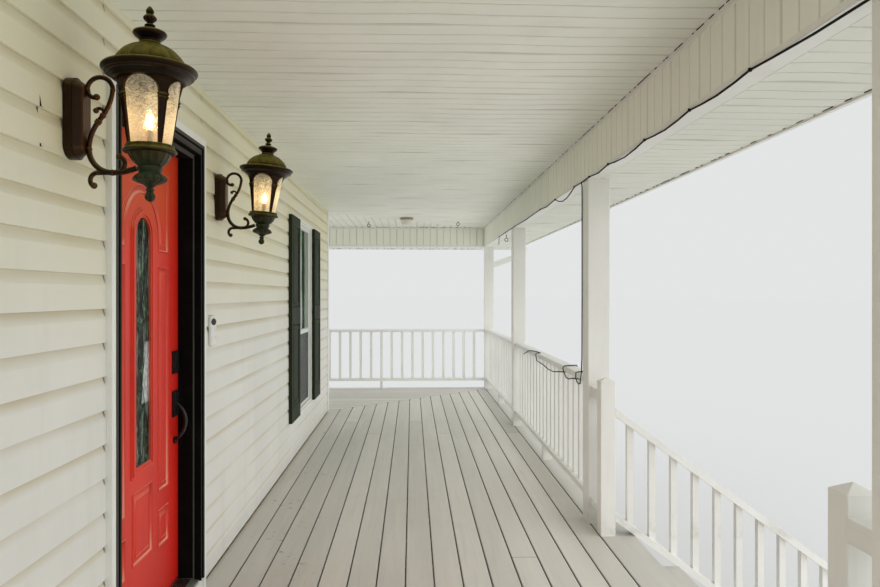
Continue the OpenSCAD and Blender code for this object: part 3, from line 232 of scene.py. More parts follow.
def moulding(outline, profile, x, out=1):
    """Carries a moulding's section round a closed outline in Y and Z. The section's first number moves
    along the outline's mitre direction, the second stands off the plane at x."""
    outline = np.asarray(outline, float)
    before, after = np.roll(outline, 1, 0), np.roll(outline, -1, 0)
    d0, d1 = outline - before, after - outline
    d0 /= np.linalg.norm(d0, axis=1)[:, None]
    d1 /= np.linalg.norm(d1, axis=1)[:, None]
    n0 = np.stack([d0[:, 1], -d0[:, 0]], -1)
    n1 = np.stack([d1[:, 1], -d1[:, 0]], -1)
    mitre = (n0 + n1) / (1 + np.einsum("ij,ij->i", n0, n1))[:, None]
    rings = np.zeros((len(outline), len(profile), 3))
    rings[..., 0] = x + out * profile[None, :, 1]
    rings[..., 1:] = outline[:, None] + mitre[:, None] * profile[None, :, 0:1]
    return loft(rings, loop=True)


def rectangle(y0, y1, z0, z1):
    """Corners of an upright rectangle in Y and Z."""
    return np.array([(y0, z0), (y1, z0), (y1, z1), (y0, z1)])


def arc(centre, radius, start, stop, count):
    """Points of an arc between two angles in degrees."""
    t = np.radians(np.linspace(start, stop, count))
    return np.stack([centre[0] + radius * np.cos(t), centre[1] + radius * np.sin(t)], -1)


# Finishes: shader expressions

# Sizes in metres that the patterns follow
LAP = 0.1143  # height of one siding course
STRIP_WIDTH = 0.034  # of the strips beside the door's casing
BLOCK_HEIGHT = 0.2032  # of a concrete block with its joint
TAB_WIDTH = 0.1667  # of one tab of a shingle
WIRE_PITCH = 0.0022  # of the insect screen's wires


class Term:
    """A socket in a shader expression; each operator adds one Math node."""

    def __init__(self, nodes, socket):
        self.nodes, self.socket = nodes, socket

    def _math(self, operation, *terms, clamp=False):
        settings = {"operation": operation, "use_clamp": clamp}
        return self.nodes.node("ShaderNodeMath", settings, dict(enumerate(terms)))

    def sibling(self, out):
        """Another output of the same node."""
        return Term(self.nodes, self.socket.node.outputs[out])

    def __add__(self, other):
        return self._math("ADD", self, other)

    def __sub__(self, other):
        return self._math("SUBTRACT", self, other)

    def __rsub__(self, other):
        return self._math("SUBTRACT", other, self)

    def __mul__(self, other):
        return self._math("MULTIPLY", self, other)

    def __truediv__(self, other):
        return self._math("DIVIDE", self, other)

    def __mod__(self, other):
        return self._math("FLOORED_MODULO", self, other)

    def __gt__(self, other):
        return self._math("GREATER_THAN", self, other)

    def __lt__(self, other):
        return self._math("LESS_THAN", self, other)

    __radd__, __rmul__ = __add__, __mul__

    def clamp(self):
        """The value held between 0 and 1."""
        return self._math("ADD", self, 0.0, clamp=True)

    def floor(self):
        """The whole number at or below the value."""
        return self._math("FLOOR", self)

    def most(self, other):
        """The larger of two values."""
        return self._math("MAXIMUM", self, other)

    def span(self, low, high, start=0.0, stop=1.0):
        """Smooth step from start to stop as the value goes from low to high."""
        settings = {"interpolation_type": "SMOOTHSTEP"}
        return self.nodes.node("ShaderNodeMapRange", settings,
                               {0: self, "From Min": low, "From Max": high, "To Min": start, "To Max": stop})


class Nodes:
    """A node tree; one method adds every node and gives an output back as a term."""

    def __init__(self, tree):
        self.tree = tree

    def node(self, kind, settings=(), inputs=(), out=0):
        """Adds a node, sets it up, joins its sockets and gives one output back."""
        made = self.tree.nodes.new(kind)
        for key, value in dict(settings).items():
            setattr(made, key, value)
        for key, value in dict(inputs).items():
            if isinstance(value, Term):
                self.join(value, made.inputs[key])
            else:
                made.inputs[key].default_value = value
        return Term(self, made.outputs[out])

    def join(self, term, socket):
        """Feeds a socket with a term."""
        self.tree.links.new(term.socket, socket)


class Finish(Nodes):
    """One material: a Principled shader with a small vocabulary of patterns."""

    def __init__(self, name, colour, rough=0.5, metal=0.0, **constants):
        self.material = bpy.data.materials.new(name)
        self.material.use_nodes = True
        super().__init__(self.material.node_tree)
        self.shader = self.tree.nodes["Principled BSDF"]
        self.output = self.tree.nodes["Material Output"]
        self.shader.inputs["Base Color"].default_value = (*colour, 1)
        self.shader.inputs["Roughness"].default_value = rough
        self.shader.inputs["Metallic"].default_value = metal
        for key, value in constants.items():
            self.shader.inputs[key.replace("_", " ")].default_value = value
        self.material.diffuse_color = (*colour, 1)
        self._place = None

    def place(self):
        """Object coordinates."""
        if self._place is None:
            self._place = self.node("ShaderNodeTexCoord", out="Object")
        return self._place

    def parts(self, vector):
        """X, Y and Z of a vector."""
        first = self.node("ShaderNodeSeparateXYZ", (), {0: vector})
        return first, first.sibling(1), first.sibling(2)

    def axes(self):
        """X, Y and Z of the object coordinates."""
        return self.parts(self.place())

    def facing(self):
        """X, Y and Z of the direction that a face looks in."""
        return self.parts(self.node("ShaderNodeNewGeometry", out="Normal"))

    def stretched(self, scale, shift=(0, 0, 0)):
        """Object coordinates multiplied axis by axis, then moved."""
        scaled = self.node("ShaderNodeVectorMath", {"operation": "MULTIPLY"}, {0: self.place(), 1: scale})
        return self.node("ShaderNodeVectorMath", {"operation": "ADD"}, {0: scaled, 1: shift})

    def noise(self, scale, stretch=(1, 1, 1), detail=4.0, rough=0.55, shift=(0, 0, 0), warp=0.0):
        """Cloudy noise from 0 to 1 in stretched coordinates."""
        return self.node("ShaderNodeTexNoise", (), {"Vector": self.stretched(stretch, shift), "Scale": scale,
                                                    "Detail": detail, "Roughness": rough, "Distortion": warp})

    def cells(self, scale, stretch=(1, 1, 1), feature="F1"):
        """Distance to the nearest of many scattered points."""
        return self.node("ShaderNodeTexVoronoi", {"feature": feature},
                         {"Vector": self.stretched(stretch), "Scale": scale})

    def tone(self):
        """The piece's own tone attribute, from 0 to 1."""
        return self.node("ShaderNodeAttribute", {"attribute_name": "tone"}, out="Fac")

    def blend(self, mask, first, second):
        """Mixes two colours by a mask: inputs 6 and 7 and output 2 of a Mix node are its colours."""
        first, second = (c if isinstance(c, Term) else (*c, 1) for c in (first, second))
        return self.node("ShaderNodeMix", {"data_type": "RGBA"}, {0: mask, 6: first, 7: second}, out=2)

    def colour(self, term):
        """Feeds the base colour."""
        self.join(term, self.shader.inputs["Base Color"])

    def roughness(self, term):
        """Feeds the roughness."""
        self.join(term, self.shader.inputs["Roughness"])

    def metallic(self, term):
        """Feeds the metal share."""
        self.join(term, self.shader.inputs["Metallic"])

    def alpha(self, term):
        """Feeds the opacity."""
        self.join(term, self.shader.inputs["Alpha"])

    def glow(self, term):
        """Feeds the colour of the light given off."""
        self.join(term, self.shader.inputs["Emission Color"])

    def relief(self, height, distance):
        """A bump of the given depth in metres."""
        bump = self.node("ShaderNodeBump", (), {"Height": height, "Distance": distance}, out="Normal")
        self.join(bump, self.shader.inputs["Normal"])

    def choose(self, mask, second):
        """Shows the material's own shader, or the second one where the mask is 1."""
        own = Term(self, self.shader.outputs[0])
        both = self.node("ShaderNodeMixShader", (), {0: mask, 1: own, 2: second})
        self.join(both, self.output.inputs[0])


def shade(colour, factor):
    """A colour multiplied by a number, or channel by channel by three of them."""
    factors = factor if isinstance(factor, tuple) else (factor,) * 3
    return tuple(min(1.0, c * k) for c, k in zip(colour, factors))


def scales(axis, across, along):
    """Three scales of a pattern: one along an axis and another across it."""
    return [along if k == axis else across for k in range(3)]


def painted_wood(name, colour, axis):
    """Brushed paint on wood: long brush marks on one axis, faint blotches, grime by the deck."""
    f = Finish(name, colour)
    brush = f.noise(1.0, scales(axis, 60.0, 3.0), 5.0, 0.6)
    blotch = f.noise(2.3, detail=3.0)
    fine = f.noise(160.0, detail=2.0)
    z = f.axes()[2]
    low = z.span(Plan.deck_z + 0.2, Plan.deck_z + 0.01) * z.span(Plan.deck_z - 0.05, Plan.deck_z - 0.01)
    low = low.most(z.span(0.16, 0.0)) * f.noise(9.0, detail=5.0).span(0.42, 0.7)
    marks = f.noise(5.0, detail=6.0, shift=(3, 1, 7)).span(0.62, 0.78)
    base = f.blend(blotch.span(0.3, 0.7), shade(colour, 0.955), shade(colour, 1.02))
    base = f.blend(brush.span(0.45, 0.8) * 0.35, base, shade(colour, 0.9))
    grime = shade(colour, (0.62, 0.6, 0.52))
    f.colour(f.blend((low * 0.5 + marks * 0.04).clamp(), base, grime))
    f.roughness(brush * 0.16 + 0.36 + marks * 0.1)
    f.relief(brush * 0.7 + fine * 0.3, 0.0006)
    return f.material


def deck_paint(name, colour, axis):
    """Worn deck paint: each board a tone of its own, grain and scuffs along the board, dust, brown specks
    by the wall, and painted shade: the boards' sides and eased edges go near-black in the gaps between them."""
    f = Finish(name, colour)
    grain = f.noise(1.0, scales(axis, 38.0, 1.3), 6.0, 0.62, warp=0.4)
    wear = f.noise(1.0, scales(axis, 9.0, 0.7), 4.0, 0.55, shift=(5, 5, 0))
    dust = f.noise(1.6, detail=5.0, rough=0.62)
    specks = f.noise(70.0, detail=3.0)
    tone = f.tone()
    base = f.blend(tone, shade(colour, 0.9), shade(colour, 1.06))
    base = f.blend(wear.span(0.45, 0.75) * 0.4, base, shade(colour, 1.16))
    base = f.blend(grain.span(0.52, 0.78) * 0.38, base, shade(colour, 0.72))
    base = f.blend(dust.span(0.5, 0.75) * 0.3, base, shade(colour, (0.83, 0.8, 0.74)))
    base = f.blend(specks.span(0.66, 0.74) * 0.35, base, shade(colour, 0.62))
    x, y, z = f.axes()
    by_wall = x.span(0.85, 0.15) * f.noise(2.6, detail=3.0, shift=(9, 4, 0)).span(0.45, 0.6)
    base = f.blend(f.noise(26.0, detail=4.0, shift=(2, 7, 0)).span(0.63, 0.69) * by_wall * 0.75, base,
                   (0.16, 0.1, 0.055))
    # Painted shade: faces that do not look up, inside the deck's outer edges, go near-black as the gaps'
    # shadow.
    up = f.facing()[2]
    inner = (x < Plan.edge_x - 0.002) * (y < Plan.edge_y - 0.002) * (z > Plan.deck_z - 0.03)
    f.colour(f.blend(up.span(0.86, 0.45) * inner, base, (0.008, 0.007, 0.005)))
    f.roughness(grain * 0.22 + dust * 0.18 + 0.3)
    f.relief(grain * 0.8 + specks * 0.2, 0.0012)
    return f.material


def vinyl(name, colour, axis, rough=0.4, streaks=0.35, wave=0.0, lap=0.0, grooves=0.0):
    """Moulded vinyl cladding: a faint pressed grain along the panels, thin grey weathering, and slow
    waves where thin panels sag between their nails. On lap siding a painted tan shade lies under each butt
    edge, with a darker painted shadow line at its top: the share of a lap's height is the modulo of Z. The
    upper courses turn yellow, partly from stains and partly as painted warm light of the lanterns, and
    painted shadow darkens the laps' open ends beside the door's strips. On grooved panels the tone
    attribute marks the grooves, which are darkened as painted shade."""
    f = Finish(name, colour, rough)
    press = f.noise(1.0, scales(axis, 90.0, 5.0), 4.0, 0.6)
    broad = f.noise(1.4, detail=4.0)
    down = f.noise(1.0, (7.0, 7.0, 0.8), 5.0, 0.6, shift=(2, 9, 4))
    base = f.blend(broad.span(0.3, 0.72), shade(colour, 0.96), shade(colour, 1.03))
    grey = shade(colour, (0.8, 0.8, 0.74))
    base = f.blend(down.span(0.5, 0.78) * streaks, base, grey)
    if lap:
        _, y, z = f.axes()
        share = ((z - Plan.lap_z) / lap) % 1.0
        vary = f.noise(1.0, (1.1, 1.1, 7.0), 3.0, 0.5, shift=(3, 3, 3)).span(0.3, 0.7, 0.25, 1.0)
        # Painted shade: a tan band under each butt edge, with a darker painted shadow line at its top.
        band = share.span(0.66, 0.97) * vary
        line = share.span(0.962, 0.985)
        patchy = f.noise(1.9, detail=4.0, shift=(6, 2, 8)).span(0.2, 0.7, 0.55, 1.0)
        # Yellow towards the top: partly stains, partly painted warm light of the lanterns and its bounce.
        yellow = z.span(2.05, 3.05) * z.span(3.62, 3.57) * patchy
        base = f.blend(yellow * 0.9, base, shade(colour, (1.0, 0.95, 0.68)))
        base = f.blend(band * 0.8, base, (0.57, 0.485, 0.31))
        base = f.blend(line * 0.22, base, (0.2, 0.17, 0.12))
        # Painted shadow: the laps' open ends beside the door's strips go dark.
        edge = corners("door_casing")[1][1] + STRIP_WIDTH
        ends = (y > edge - 0.001) * (y < edge + 0.01)
        ends = ends.most((y < 0.001 - edge) * (y > -0.01 - edge)) * share.span(0.74, 0.86)
        base = f.blend(ends * 0.85, base, (0.16, 0.12, 0.06))
    # Painted shade in the grooves, which the tone attribute marks.
    if grooves:
        base = f.blend(f.tone() * grooves, base, (0.3, 0.27, 0.2))
    f.colour(base)
    f.roughness(press * 0.12 + rough + down * 0.06)
    if wave:
        slow = f.noise(1.0, scales(axis, 2.6, 0.8), 2.0, 0.4, shift=(8, 1, 3))
        ripple = f.noise(1.0, scales(axis, 8.84, 2.72), 2.0, shift=(1, 7, 5))
        f.relief(slow * 0.7 + ripple * 0.25 + press * 0.05, wave)
    else:
        f.relief(press, 0.0006)
    return f.material


def gloss_door(name, colour):
    """Door enamel: fine roller texture, faint pressed grain and sunburnt patches. Painted light lies on it:
    a painted warm glow of the lanterns at its head, painted shade towards the latch side, painted
    highlights on the mouldings' faces that look up or towards the stairs, and painted shade on the others."""
    f = Finish(name, colour, 0.42, Specular_IOR_Level=0.32)
    roll = f.noise(420.0, detail=2.0)
    patch = f.noise(2.6, (1, 1, 0.5), 4.0)
    wood = f.noise(1.0, (70.0, 70.0, 4.0), 5.0, 0.6)
    burnt = shade(colour, (1.06, 1.5, 1.3))
    base = f.blend(patch.span(0.35, 0.7), shade(colour, 0.88), burnt)
    base = f.blend(wood.span(0.5, 0.8) * 0.25, base, shade(colour, 0.78))
    _, side, up = f.facing()
    _, y, z = f.axes()
    # Painted light: a warm glow of the lanterns at the head, and painted shade towards the latch side.
    base = f.blend(z.span(2.6, 3.15) * 0.6, base, (0.6, 0.11, 0.014))
    base = f.blend(y.span(0.22, 0.42) * 0.55, base, shade(colour, (0.9, 0.4, 0.5)))
    # Painted highlights on faces towards the stairs and upwards, painted shade on faces away from them and
    # downwards.
    base = f.blend(side.span(-0.15, -0.5) * 0.35, base, (0.9, 0.22, 0.14))
    base = f.blend(side.span(0.15, 0.5) * 0.45, base, shade(colour, 0.4))
    base = f.blend(up.span(0.12, 0.5) * 0.85, base, (0.97, 0.46, 0.33))
    f.colour(f.blend(up.span(-0.1, -0.5) * 0.6, base, shade(colour, 0.35)))
    f.roughness(roll * 0.1 + patch * 0.12 + 0.34)
    f.relief(wood * 0.6 + roll * 0.4, 0.0006)
    return f.material


def dark_paint(name, colour, rough, dust, shine, painted_sheen=0.0):
    """Near-black satin paint with pale dust, and a painted grey sheen on faces that look straight out."""
    f = Finish(name, colour, rough, Specular_IOR_Level=shine)
    haze = f.noise(7.0, detail=6.0, rough=0.65)
    fine = f.noise(240.0, detail=2.0)
    base = f.blend(haze.span(0.48, 0.8) * dust, f.blend(fine, colour, shade(colour, 1.5)), (0.12, 0.115, 0.1))
    # Painted sheen: faces that look straight out turn grey.
    if painted_sheen:
        base = f.blend(f.facing()[0].span(0.8, 0.98) * painted_sheen, base, (0.17, 0.16, 0.13))
    f.colour(base)
    f.roughness(haze * 0.25 + rough - 0.1)
    f.relief(fine, 0.0003)
    return f.material


def aged_bronze(name, colour, green, cool):
    """Cast bronze gone black-brown: verdigris, together with a painted top light, on faces that look up,
    blue-green verdigris on the lantern bodies' lower half, and edges rubbed to warm brown, with a painted
    warm highlight on faces that look out towards +X. Cool is 1 for the bodies and 0 for the brackets, whose
    wall plates stay darker than their scrolls."""
    f = Finish(name, colour, Specular_IOR_Level=0.3 - 0.15 * cool)
    broad = f.noise(13.0, detail=5.0, rough=0.6)
    patch = f.noise(46.0, detail=6.0, rough=0.7, shift=(4, 2, 9))
    runs = f.noise(1.0, (60.0, 60.0, 7.0), 4.0, 0.6, shift=(1, 6, 2))
    pits = f.noise(340.0, detail=3.0)
    out, _, up = f.facing()
    worn = f.node("ShaderNodeNewGeometry", out="Pointiness")
    x, _, z = f.axes()
    low = z.span(3.0, 2.93)
    # Verdigris on faces that look up, which is also a painted top light.
    verdigris_and_top_light = (up.span(0.0, 0.62) * 0.95 + low * (0.5 * cool)) * runs.span(0.3, 0.66, 0.6, 1.0)
    verdigris_and_top_light = (verdigris_and_top_light + (patch.span(0.55, 0.75) - 0.6) * 0.15).clamp()
    # Rubbed edges, and a painted warm highlight on faces that look out towards +X.
    rub_and_highlight = (worn.span(0.505, 0.545) * 0.6 + broad.span(0.5, 0.7) * (0.3 - 0.18 * cool)
           + out.span(0.1, 0.95) * (1.1 - cool * 0.9))
    plate = x.span(Plan.siding_x + 0.05, Plan.siding_x + 0.045) * (1 - cool)
    rub_and_highlight, verdigris_and_top_light = rub_and_highlight * (1 - plate * 0.75), verdigris_and_top_light * (1 - plate * 0.55)
    brown = shade(colour, (8.5, 4.6, 1.6))
    tint = f.blend(low * (0.9 * cool), green, (0.03, 0.062, 0.036))
    base = f.blend((rub_and_highlight * (1 - verdigris_and_top_light * 0.7)).clamp(), colour, brown)
    f.colour(f.blend(verdigris_and_top_light * 0.9, base, tint))
    f.metallic(0.6 - verdigris_and_top_light * 0.5)
    f.roughness(verdigris_and_top_light * 0.25 + pits * 0.12 + 0.26)
    f.relief(patch * 0.5 + pits * 0.5, 0.001)
    return f.material


def seeded_glass(name, colour):
    """Water glass: ripples and small seeds in a warm pane. Shadow and bounced rays pass straight
    through it, so the lamp inside lights what is near; the pane also has a painted glow, strongest at the
    lamp."""
    f = Finish(name, colour, 0.2, Transmission_Weight=1.0, IOR=1.4)
    seeds = f.cells(130.0, feature="SMOOTH_F1").span(0.0, 0.35, 1.0, 0.0)
    ripple = f.noise(1.0, (34.0, 34.0, 46.0), 3.0, 0.5, warp=1.4)
    broad = f.noise(9.0, detail=3.0)
    z = f.axes()[2]
    lines = ((ripple - 0.5) * (ripple - 0.5)).span(0.0, 0.0014, 1.0, 0.0) * z.span(3.04, 3.13, 0.12, 0.8)
    f.colour(f.blend(lines, f.blend(broad.span(0.35, 0.7), colour, shade(colour, 0.88)), (0.36, 0.29, 0.19)))
    f.roughness(ripple * 0.1 + 0.06)
    f.relief(seeds * 0.25 + ripple * 0.75, 0.004)
    # Painted glow: the pane gives off warm light itself, strongest at the lamp's height.
    near = z.span(2.98, 3.06) * z.span(3.16, 3.07)
    f.shader.inputs["Emission Strength"].default_value = 0.28
    glow = f.blend(near, (0.34, 0.25, 0.14), (0.95, 0.68, 0.38))
    glow = f.blend(z.span(3.08, 3.16) * 0.8, glow, (0.36, 0.32, 0.22))
    glow = f.blend(ripple.span(0.35, 0.68) * 0.45, glow, (0.62, 0.48, 0.3))
    f.glow(f.blend(lines, glow, (0.12, 0.09, 0.05)))
    shadow = f.node("ShaderNodeLightPath", out="Is Shadow Ray")
    clear = f.node("ShaderNodeBsdfTransparent", (), {"Color": (1.0, 0.9, 0.74, 1)})
    f.choose(shadow.most(shadow.sibling("Is Diffuse Ray")), clear)
    return f.material


def patterned_glass(name, colour):
    """Obscure door glass: a hammered surface over a painted dark hall, with painted reflections of tall green
    and pale shapes in it.
    """
    f = Finish(name, colour, 0.12, Specular_IOR_Level=0.1, IOR=1.25)
    chip = f.cells(46.0, (1, 1, 0.7))
    frost = f.noise(60.0, (1, 1, 0.5), 5.0, warp=1.5)
    # Painted reflections: green and tall pale shapes over a painted dark hall behind the glass.
    green = f.noise(1.0, (26.0, 26.0, 15.0), 5.0, 0.65, warp=0.8)
    tall = f.noise(1.0, (30.0, 30.0, 3.2), 3.0, 0.5, shift=(4, 1, 6), warp=0.3)
    base = f.blend(green.span(0.44, 0.6), shade(colour, 0.15), (0.04, 0.1, 0.045))
    base = f.blend(green.span(0.56, 0.68) * 0.9, base, (0.2, 0.36, 0.2))
    base = f.blend(tall.span(0.57, 0.62) * 0.6, base, (0.3, 0.36, 0.32))
    _, y, z = f.axes()
    low, high = corners("door_glass")
    share = (z - low[2]) / (high[2] - low[2])
    slant = y - share * 0.17 + tall * 0.05
    # A painted pale reflection in a slanting band of the lower half.
    pale = slant.span(-0.02, -0.013) * share.span(0.24, 0.25) * share.span(0.5, 0.485)
    base = f.blend(pale * 0.9, base, (0.72, 0.76, 0.76))
    f.colour(f.blend(chip.span(0.15, 0.6) * 0.4, base, shade(colour, 0.2)))
    f.roughness(frost * 0.3 + 0.05)
    f.relief(chip * 0.6 + frost * 0.4, 0.002)
    return f.material


def dark_glass(name, colour):
    """Window glass over a painted dim room with a painted green reflection, with a slight waver and faint
    dust.
    """
    f = Finish(name, colour, 0.05, Specular_IOR_Level=0.5)
    waver = f.noise(2.2, detail=2.0)
    dust = f.noise(5.0, detail=6.0, rough=0.7)
    # Painted reflection: a dark green pane, lighter and bluer where it wavers.
    f.colour(f.blend(waver.span(0.35, 0.7), colour, shade(colour, (1.6, 1.8, 1.9))))
    f.roughness(dust.span(0.5, 0.85) * 0.16 + 0.03)
    f.relief(waver, 0.002)
    return f.material


def lit_bulb(name, colour, strength):
    """Warm lamp glass with slow swirls of two tones."""
    f = Finish(name, colour, 0.4, Emission_Strength=strength)
    swirl = f.noise(40.0, (1, 1, 0.4), 3.0)
    f.glow(f.blend(swirl.span(0.3, 0.7), (1.0, 0.52, 0.16), (1.0, 0.78, 0.42)))
    return f.material


def metal(name, colour, rough, axis=1):
    """Drawn or cast metal with fine lines along one axis."""
    f = Finish(name, colour, rough, 1.0)
    lines = f.noise(1.0, scales(axis, 700.0, 12.0), 3.0)
    stain = f.noise(9.0, detail=5.0)
    f.colour(f.blend(stain.span(0.4, 0.75) * 0.5, shade(colour, 1.05), shade(colour, 0.7)))
    f.roughness(lines * 0.18 + rough - 0.05 + stain * 0.08)
    f.relief(lines, 0.0002)
    return f.material


def coated_metal(name, colour):
    """Baked enamel on sheet metal: smooth, with rain streaks."""
    f = Finish(name, colour, 0.32)
    rain = f.noise(1.0, (14.0, 14.0, 1.6), 5.0, 0.6)
    broad = f.noise(1.8, detail=3.0)
    base = f.blend(broad.span(0.3, 0.7), shade(colour, 0.96), shade(colour, 1.02))
    f.colour(f.blend(rain.span(0.55, 0.8) * 0.4, base, shade(colour, (0.72, 0.7, 0.62))))
    f.roughness(rain * 0.2 + 0.22)
    f.relief(broad, 0.0008)
    return f.material


def bare_timber(name, colour, axis):
    """Treated framing timber: rings and grain on one axis, greyed and green-tinged by weather."""
    f = Finish(name, colour)
    grain = f.noise(1.0, scales(axis, 22.0, 0.9), 6.0, 0.6, warp=1.2)
    fine = f.noise(1.0, scales(axis, 176.0, 7.2), 3.0)
    weather = f.noise(2.0, detail=5.0)
    base = f.blend(grain.span(0.36, 0.68), shade(colour, 0.66), shade(colour, 1.2))
    f.colour(f.blend(weather.span(0.42, 0.72) * 0.5, base, (0.3, 0.3, 0.25)))
    f.roughness(fine * 0.2 + 0.62)
    f.relief(grain * 0.7 + fine * 0.3, 0.0018)
    return f.material


def block_wall(name, colour):
    """Concrete blocks in running bond, from the modulo of the coordinates, with raked joints."""
    f = Finish(name, colour)
    x, y, z = f.axes()
    row = (z / BLOCK_HEIGHT).floor()
    along = (x + y) / (2 * BLOCK_HEIGHT) + row * 0.5
    u, v = along % 1.0, (z / BLOCK_HEIGHT) % 1.0
    joint = (u.span(0.0, 0.03, 1.0, 0.0).most(u.span(0.97, 1.0))).most(
        v.span(0.0, 0.05, 1.0, 0.0).most(v.span(0.95, 1.0)))
    sand = f.noise(90.0, detail=6.0, rough=0.7)
    stain = f.noise(2.4, detail=5.0)
    splash = z.span(0.35, 0.0) * f.noise(6.0, detail=5.0).span(0.35, 0.7)
    base = f.blend(sand.span(0.3, 0.7), shade(colour, 0.82), shade(colour, 1.1))
    base = f.blend(stain.span(0.45, 0.75) * 0.4, base, shade(colour, 0.62))
    base = f.blend(joint * 0.7, base, shade(colour, 1.14))
    f.colour(f.blend(splash * 0.5, base, (0.26, 0.22, 0.16)))
    f.roughness(sand * 0.15 + 0.8)
    f.relief(sand * 0.25 + (1 - joint) * 0.75, 0.006)
    return f.material


def sheathing(name, colour):
    """Oriented-strand board: flat flakes in mixed tones, with panel joints."""
    f = Finish(name, colour, 0.75)
    flakes = f.node("ShaderNodeTexVoronoi", (), {"Vector": f.stretched((28.0, 28.0, 55.0)), "Scale": 1.0},
                    out="Color")
    lightness = f.node("ShaderNodeSeparateColor", (), {0: flakes}, out=0)
    fibre = f.noise(1.0, (300.0, 40.0, 300.0), 3.0)
    base = f.blend(lightness, shade(colour, 0.75), shade(colour, 1.2))
    f.colour(f.blend(fibre.span(0.45, 0.7) * 0.3, base, shade(colour, 0.6)))
    f.roughness(lightness * 0.2 + 0.65)
    f.relief(lightness * 0.7 + fibre * 0.3, 0.001)
    return f.material


def asphalt(name, colour, axis):
    """Roof shingles: tabs of mixed greys along a course, each course offset, covered in granules."""
    f = Finish(name, colour, 0.92)
    x, y, _ = f.axes()
    along, up = (y, x) if axis == 1 else (x, y)
    row = (up / sizes().shingle_course).floor()
    shift = f.node("ShaderNodeTexWhiteNoise", {"noise_dimensions": "1D"}, {"W": row})
    place = along / TAB_WIDTH + shift * 3.0
    tab = f.node("ShaderNodeTexWhiteNoise", {"noise_dimensions": "2D"},
                 {"Vector": f.node("ShaderNodeCombineXYZ", (), {0: place.floor(), 1: row})})
    edge = (place % 1.0).span(0.0, 0.03, 1.0, 0.0)
    grit = f.noise(520.0, detail=2.0)
    broad = f.noise(1.2, detail=4.0)
    base = f.blend(tab, shade(colour, 0.72), shade(colour, 1.35))
    base = f.blend(broad.span(0.4, 0.7) * 0.3, base, shade(colour, 0.75))
    base = f.blend(grit.span(0.5, 0.72) * 0.5, base, shade(colour, 1.9))
    f.colour(f.blend(edge * 0.8, base, shade(colour, 0.35)))
    f.roughness(grit * 0.1 + 0.85)
    f.relief(grit * 0.25 + tab * 0.35 + (1 - edge) * 0.4, 0.004)
    return f.material


def rubber(name, colour):
    """Cable jacket: matt, with fine die lines and dust."""
    f = Finish(name, colour, 0.6, Specular_IOR_Level=0.12)
    dust = f.noise(60.0, detail=5.0)
    f.colour(f.blend(dust.span(0.5, 0.8) * 0.15, colour, (0.1, 0.1, 0.09)))
    f.roughness(dust * 0.2 + 0.5)
    f.relief(f.noise(700.0), 0.0002)
    return f.material


def opal(name, colour, rim=None):
    """Frosted moulded plastic or glass; above the height of a rim it is a dull metal band."""
    f = Finish(name, colour, 0.3, Subsurface_Weight=0.1)
    haze = f.noise(30.0, detail=3.0)
    base = f.blend(haze.span(0.3, 0.7), shade(colour, 0.97), colour)
    if rim:
        base = f.blend((f.axes()[2] > rim) * 0.85, base, (0.2, 0.175, 0.12))
    f.colour(base)
    f.roughness(haze * 0.12 + 0.22)
    f.relief(haze, 0.0003)
    return f.material


def insect_screen(name, colour):
    """Woven screen: crossed wires with open squares between them, and painted light and shade in slow patches
    where it sags.
    """
    f = Finish(name, colour, 0.6)
    _, y, z = f.axes()
    u, v = (y / WIRE_PITCH) % 1.0, (z / WIRE_PITCH) % 1.0
    wires = (u < 0.42).most(v < 0.42)
    # Painted light and shade of the screen's sag, in slow patches.
    sag = f.noise(3.0, detail=2.0)
    f.colour(f.blend(sag.span(0.35, 0.7), shade(colour, 0.85), shade(colour, 1.2)))
    f.alpha(wires * 0.4 + 0.55)
    f.relief(wires, 0.0003)
    return f.material


FINISHES = {}


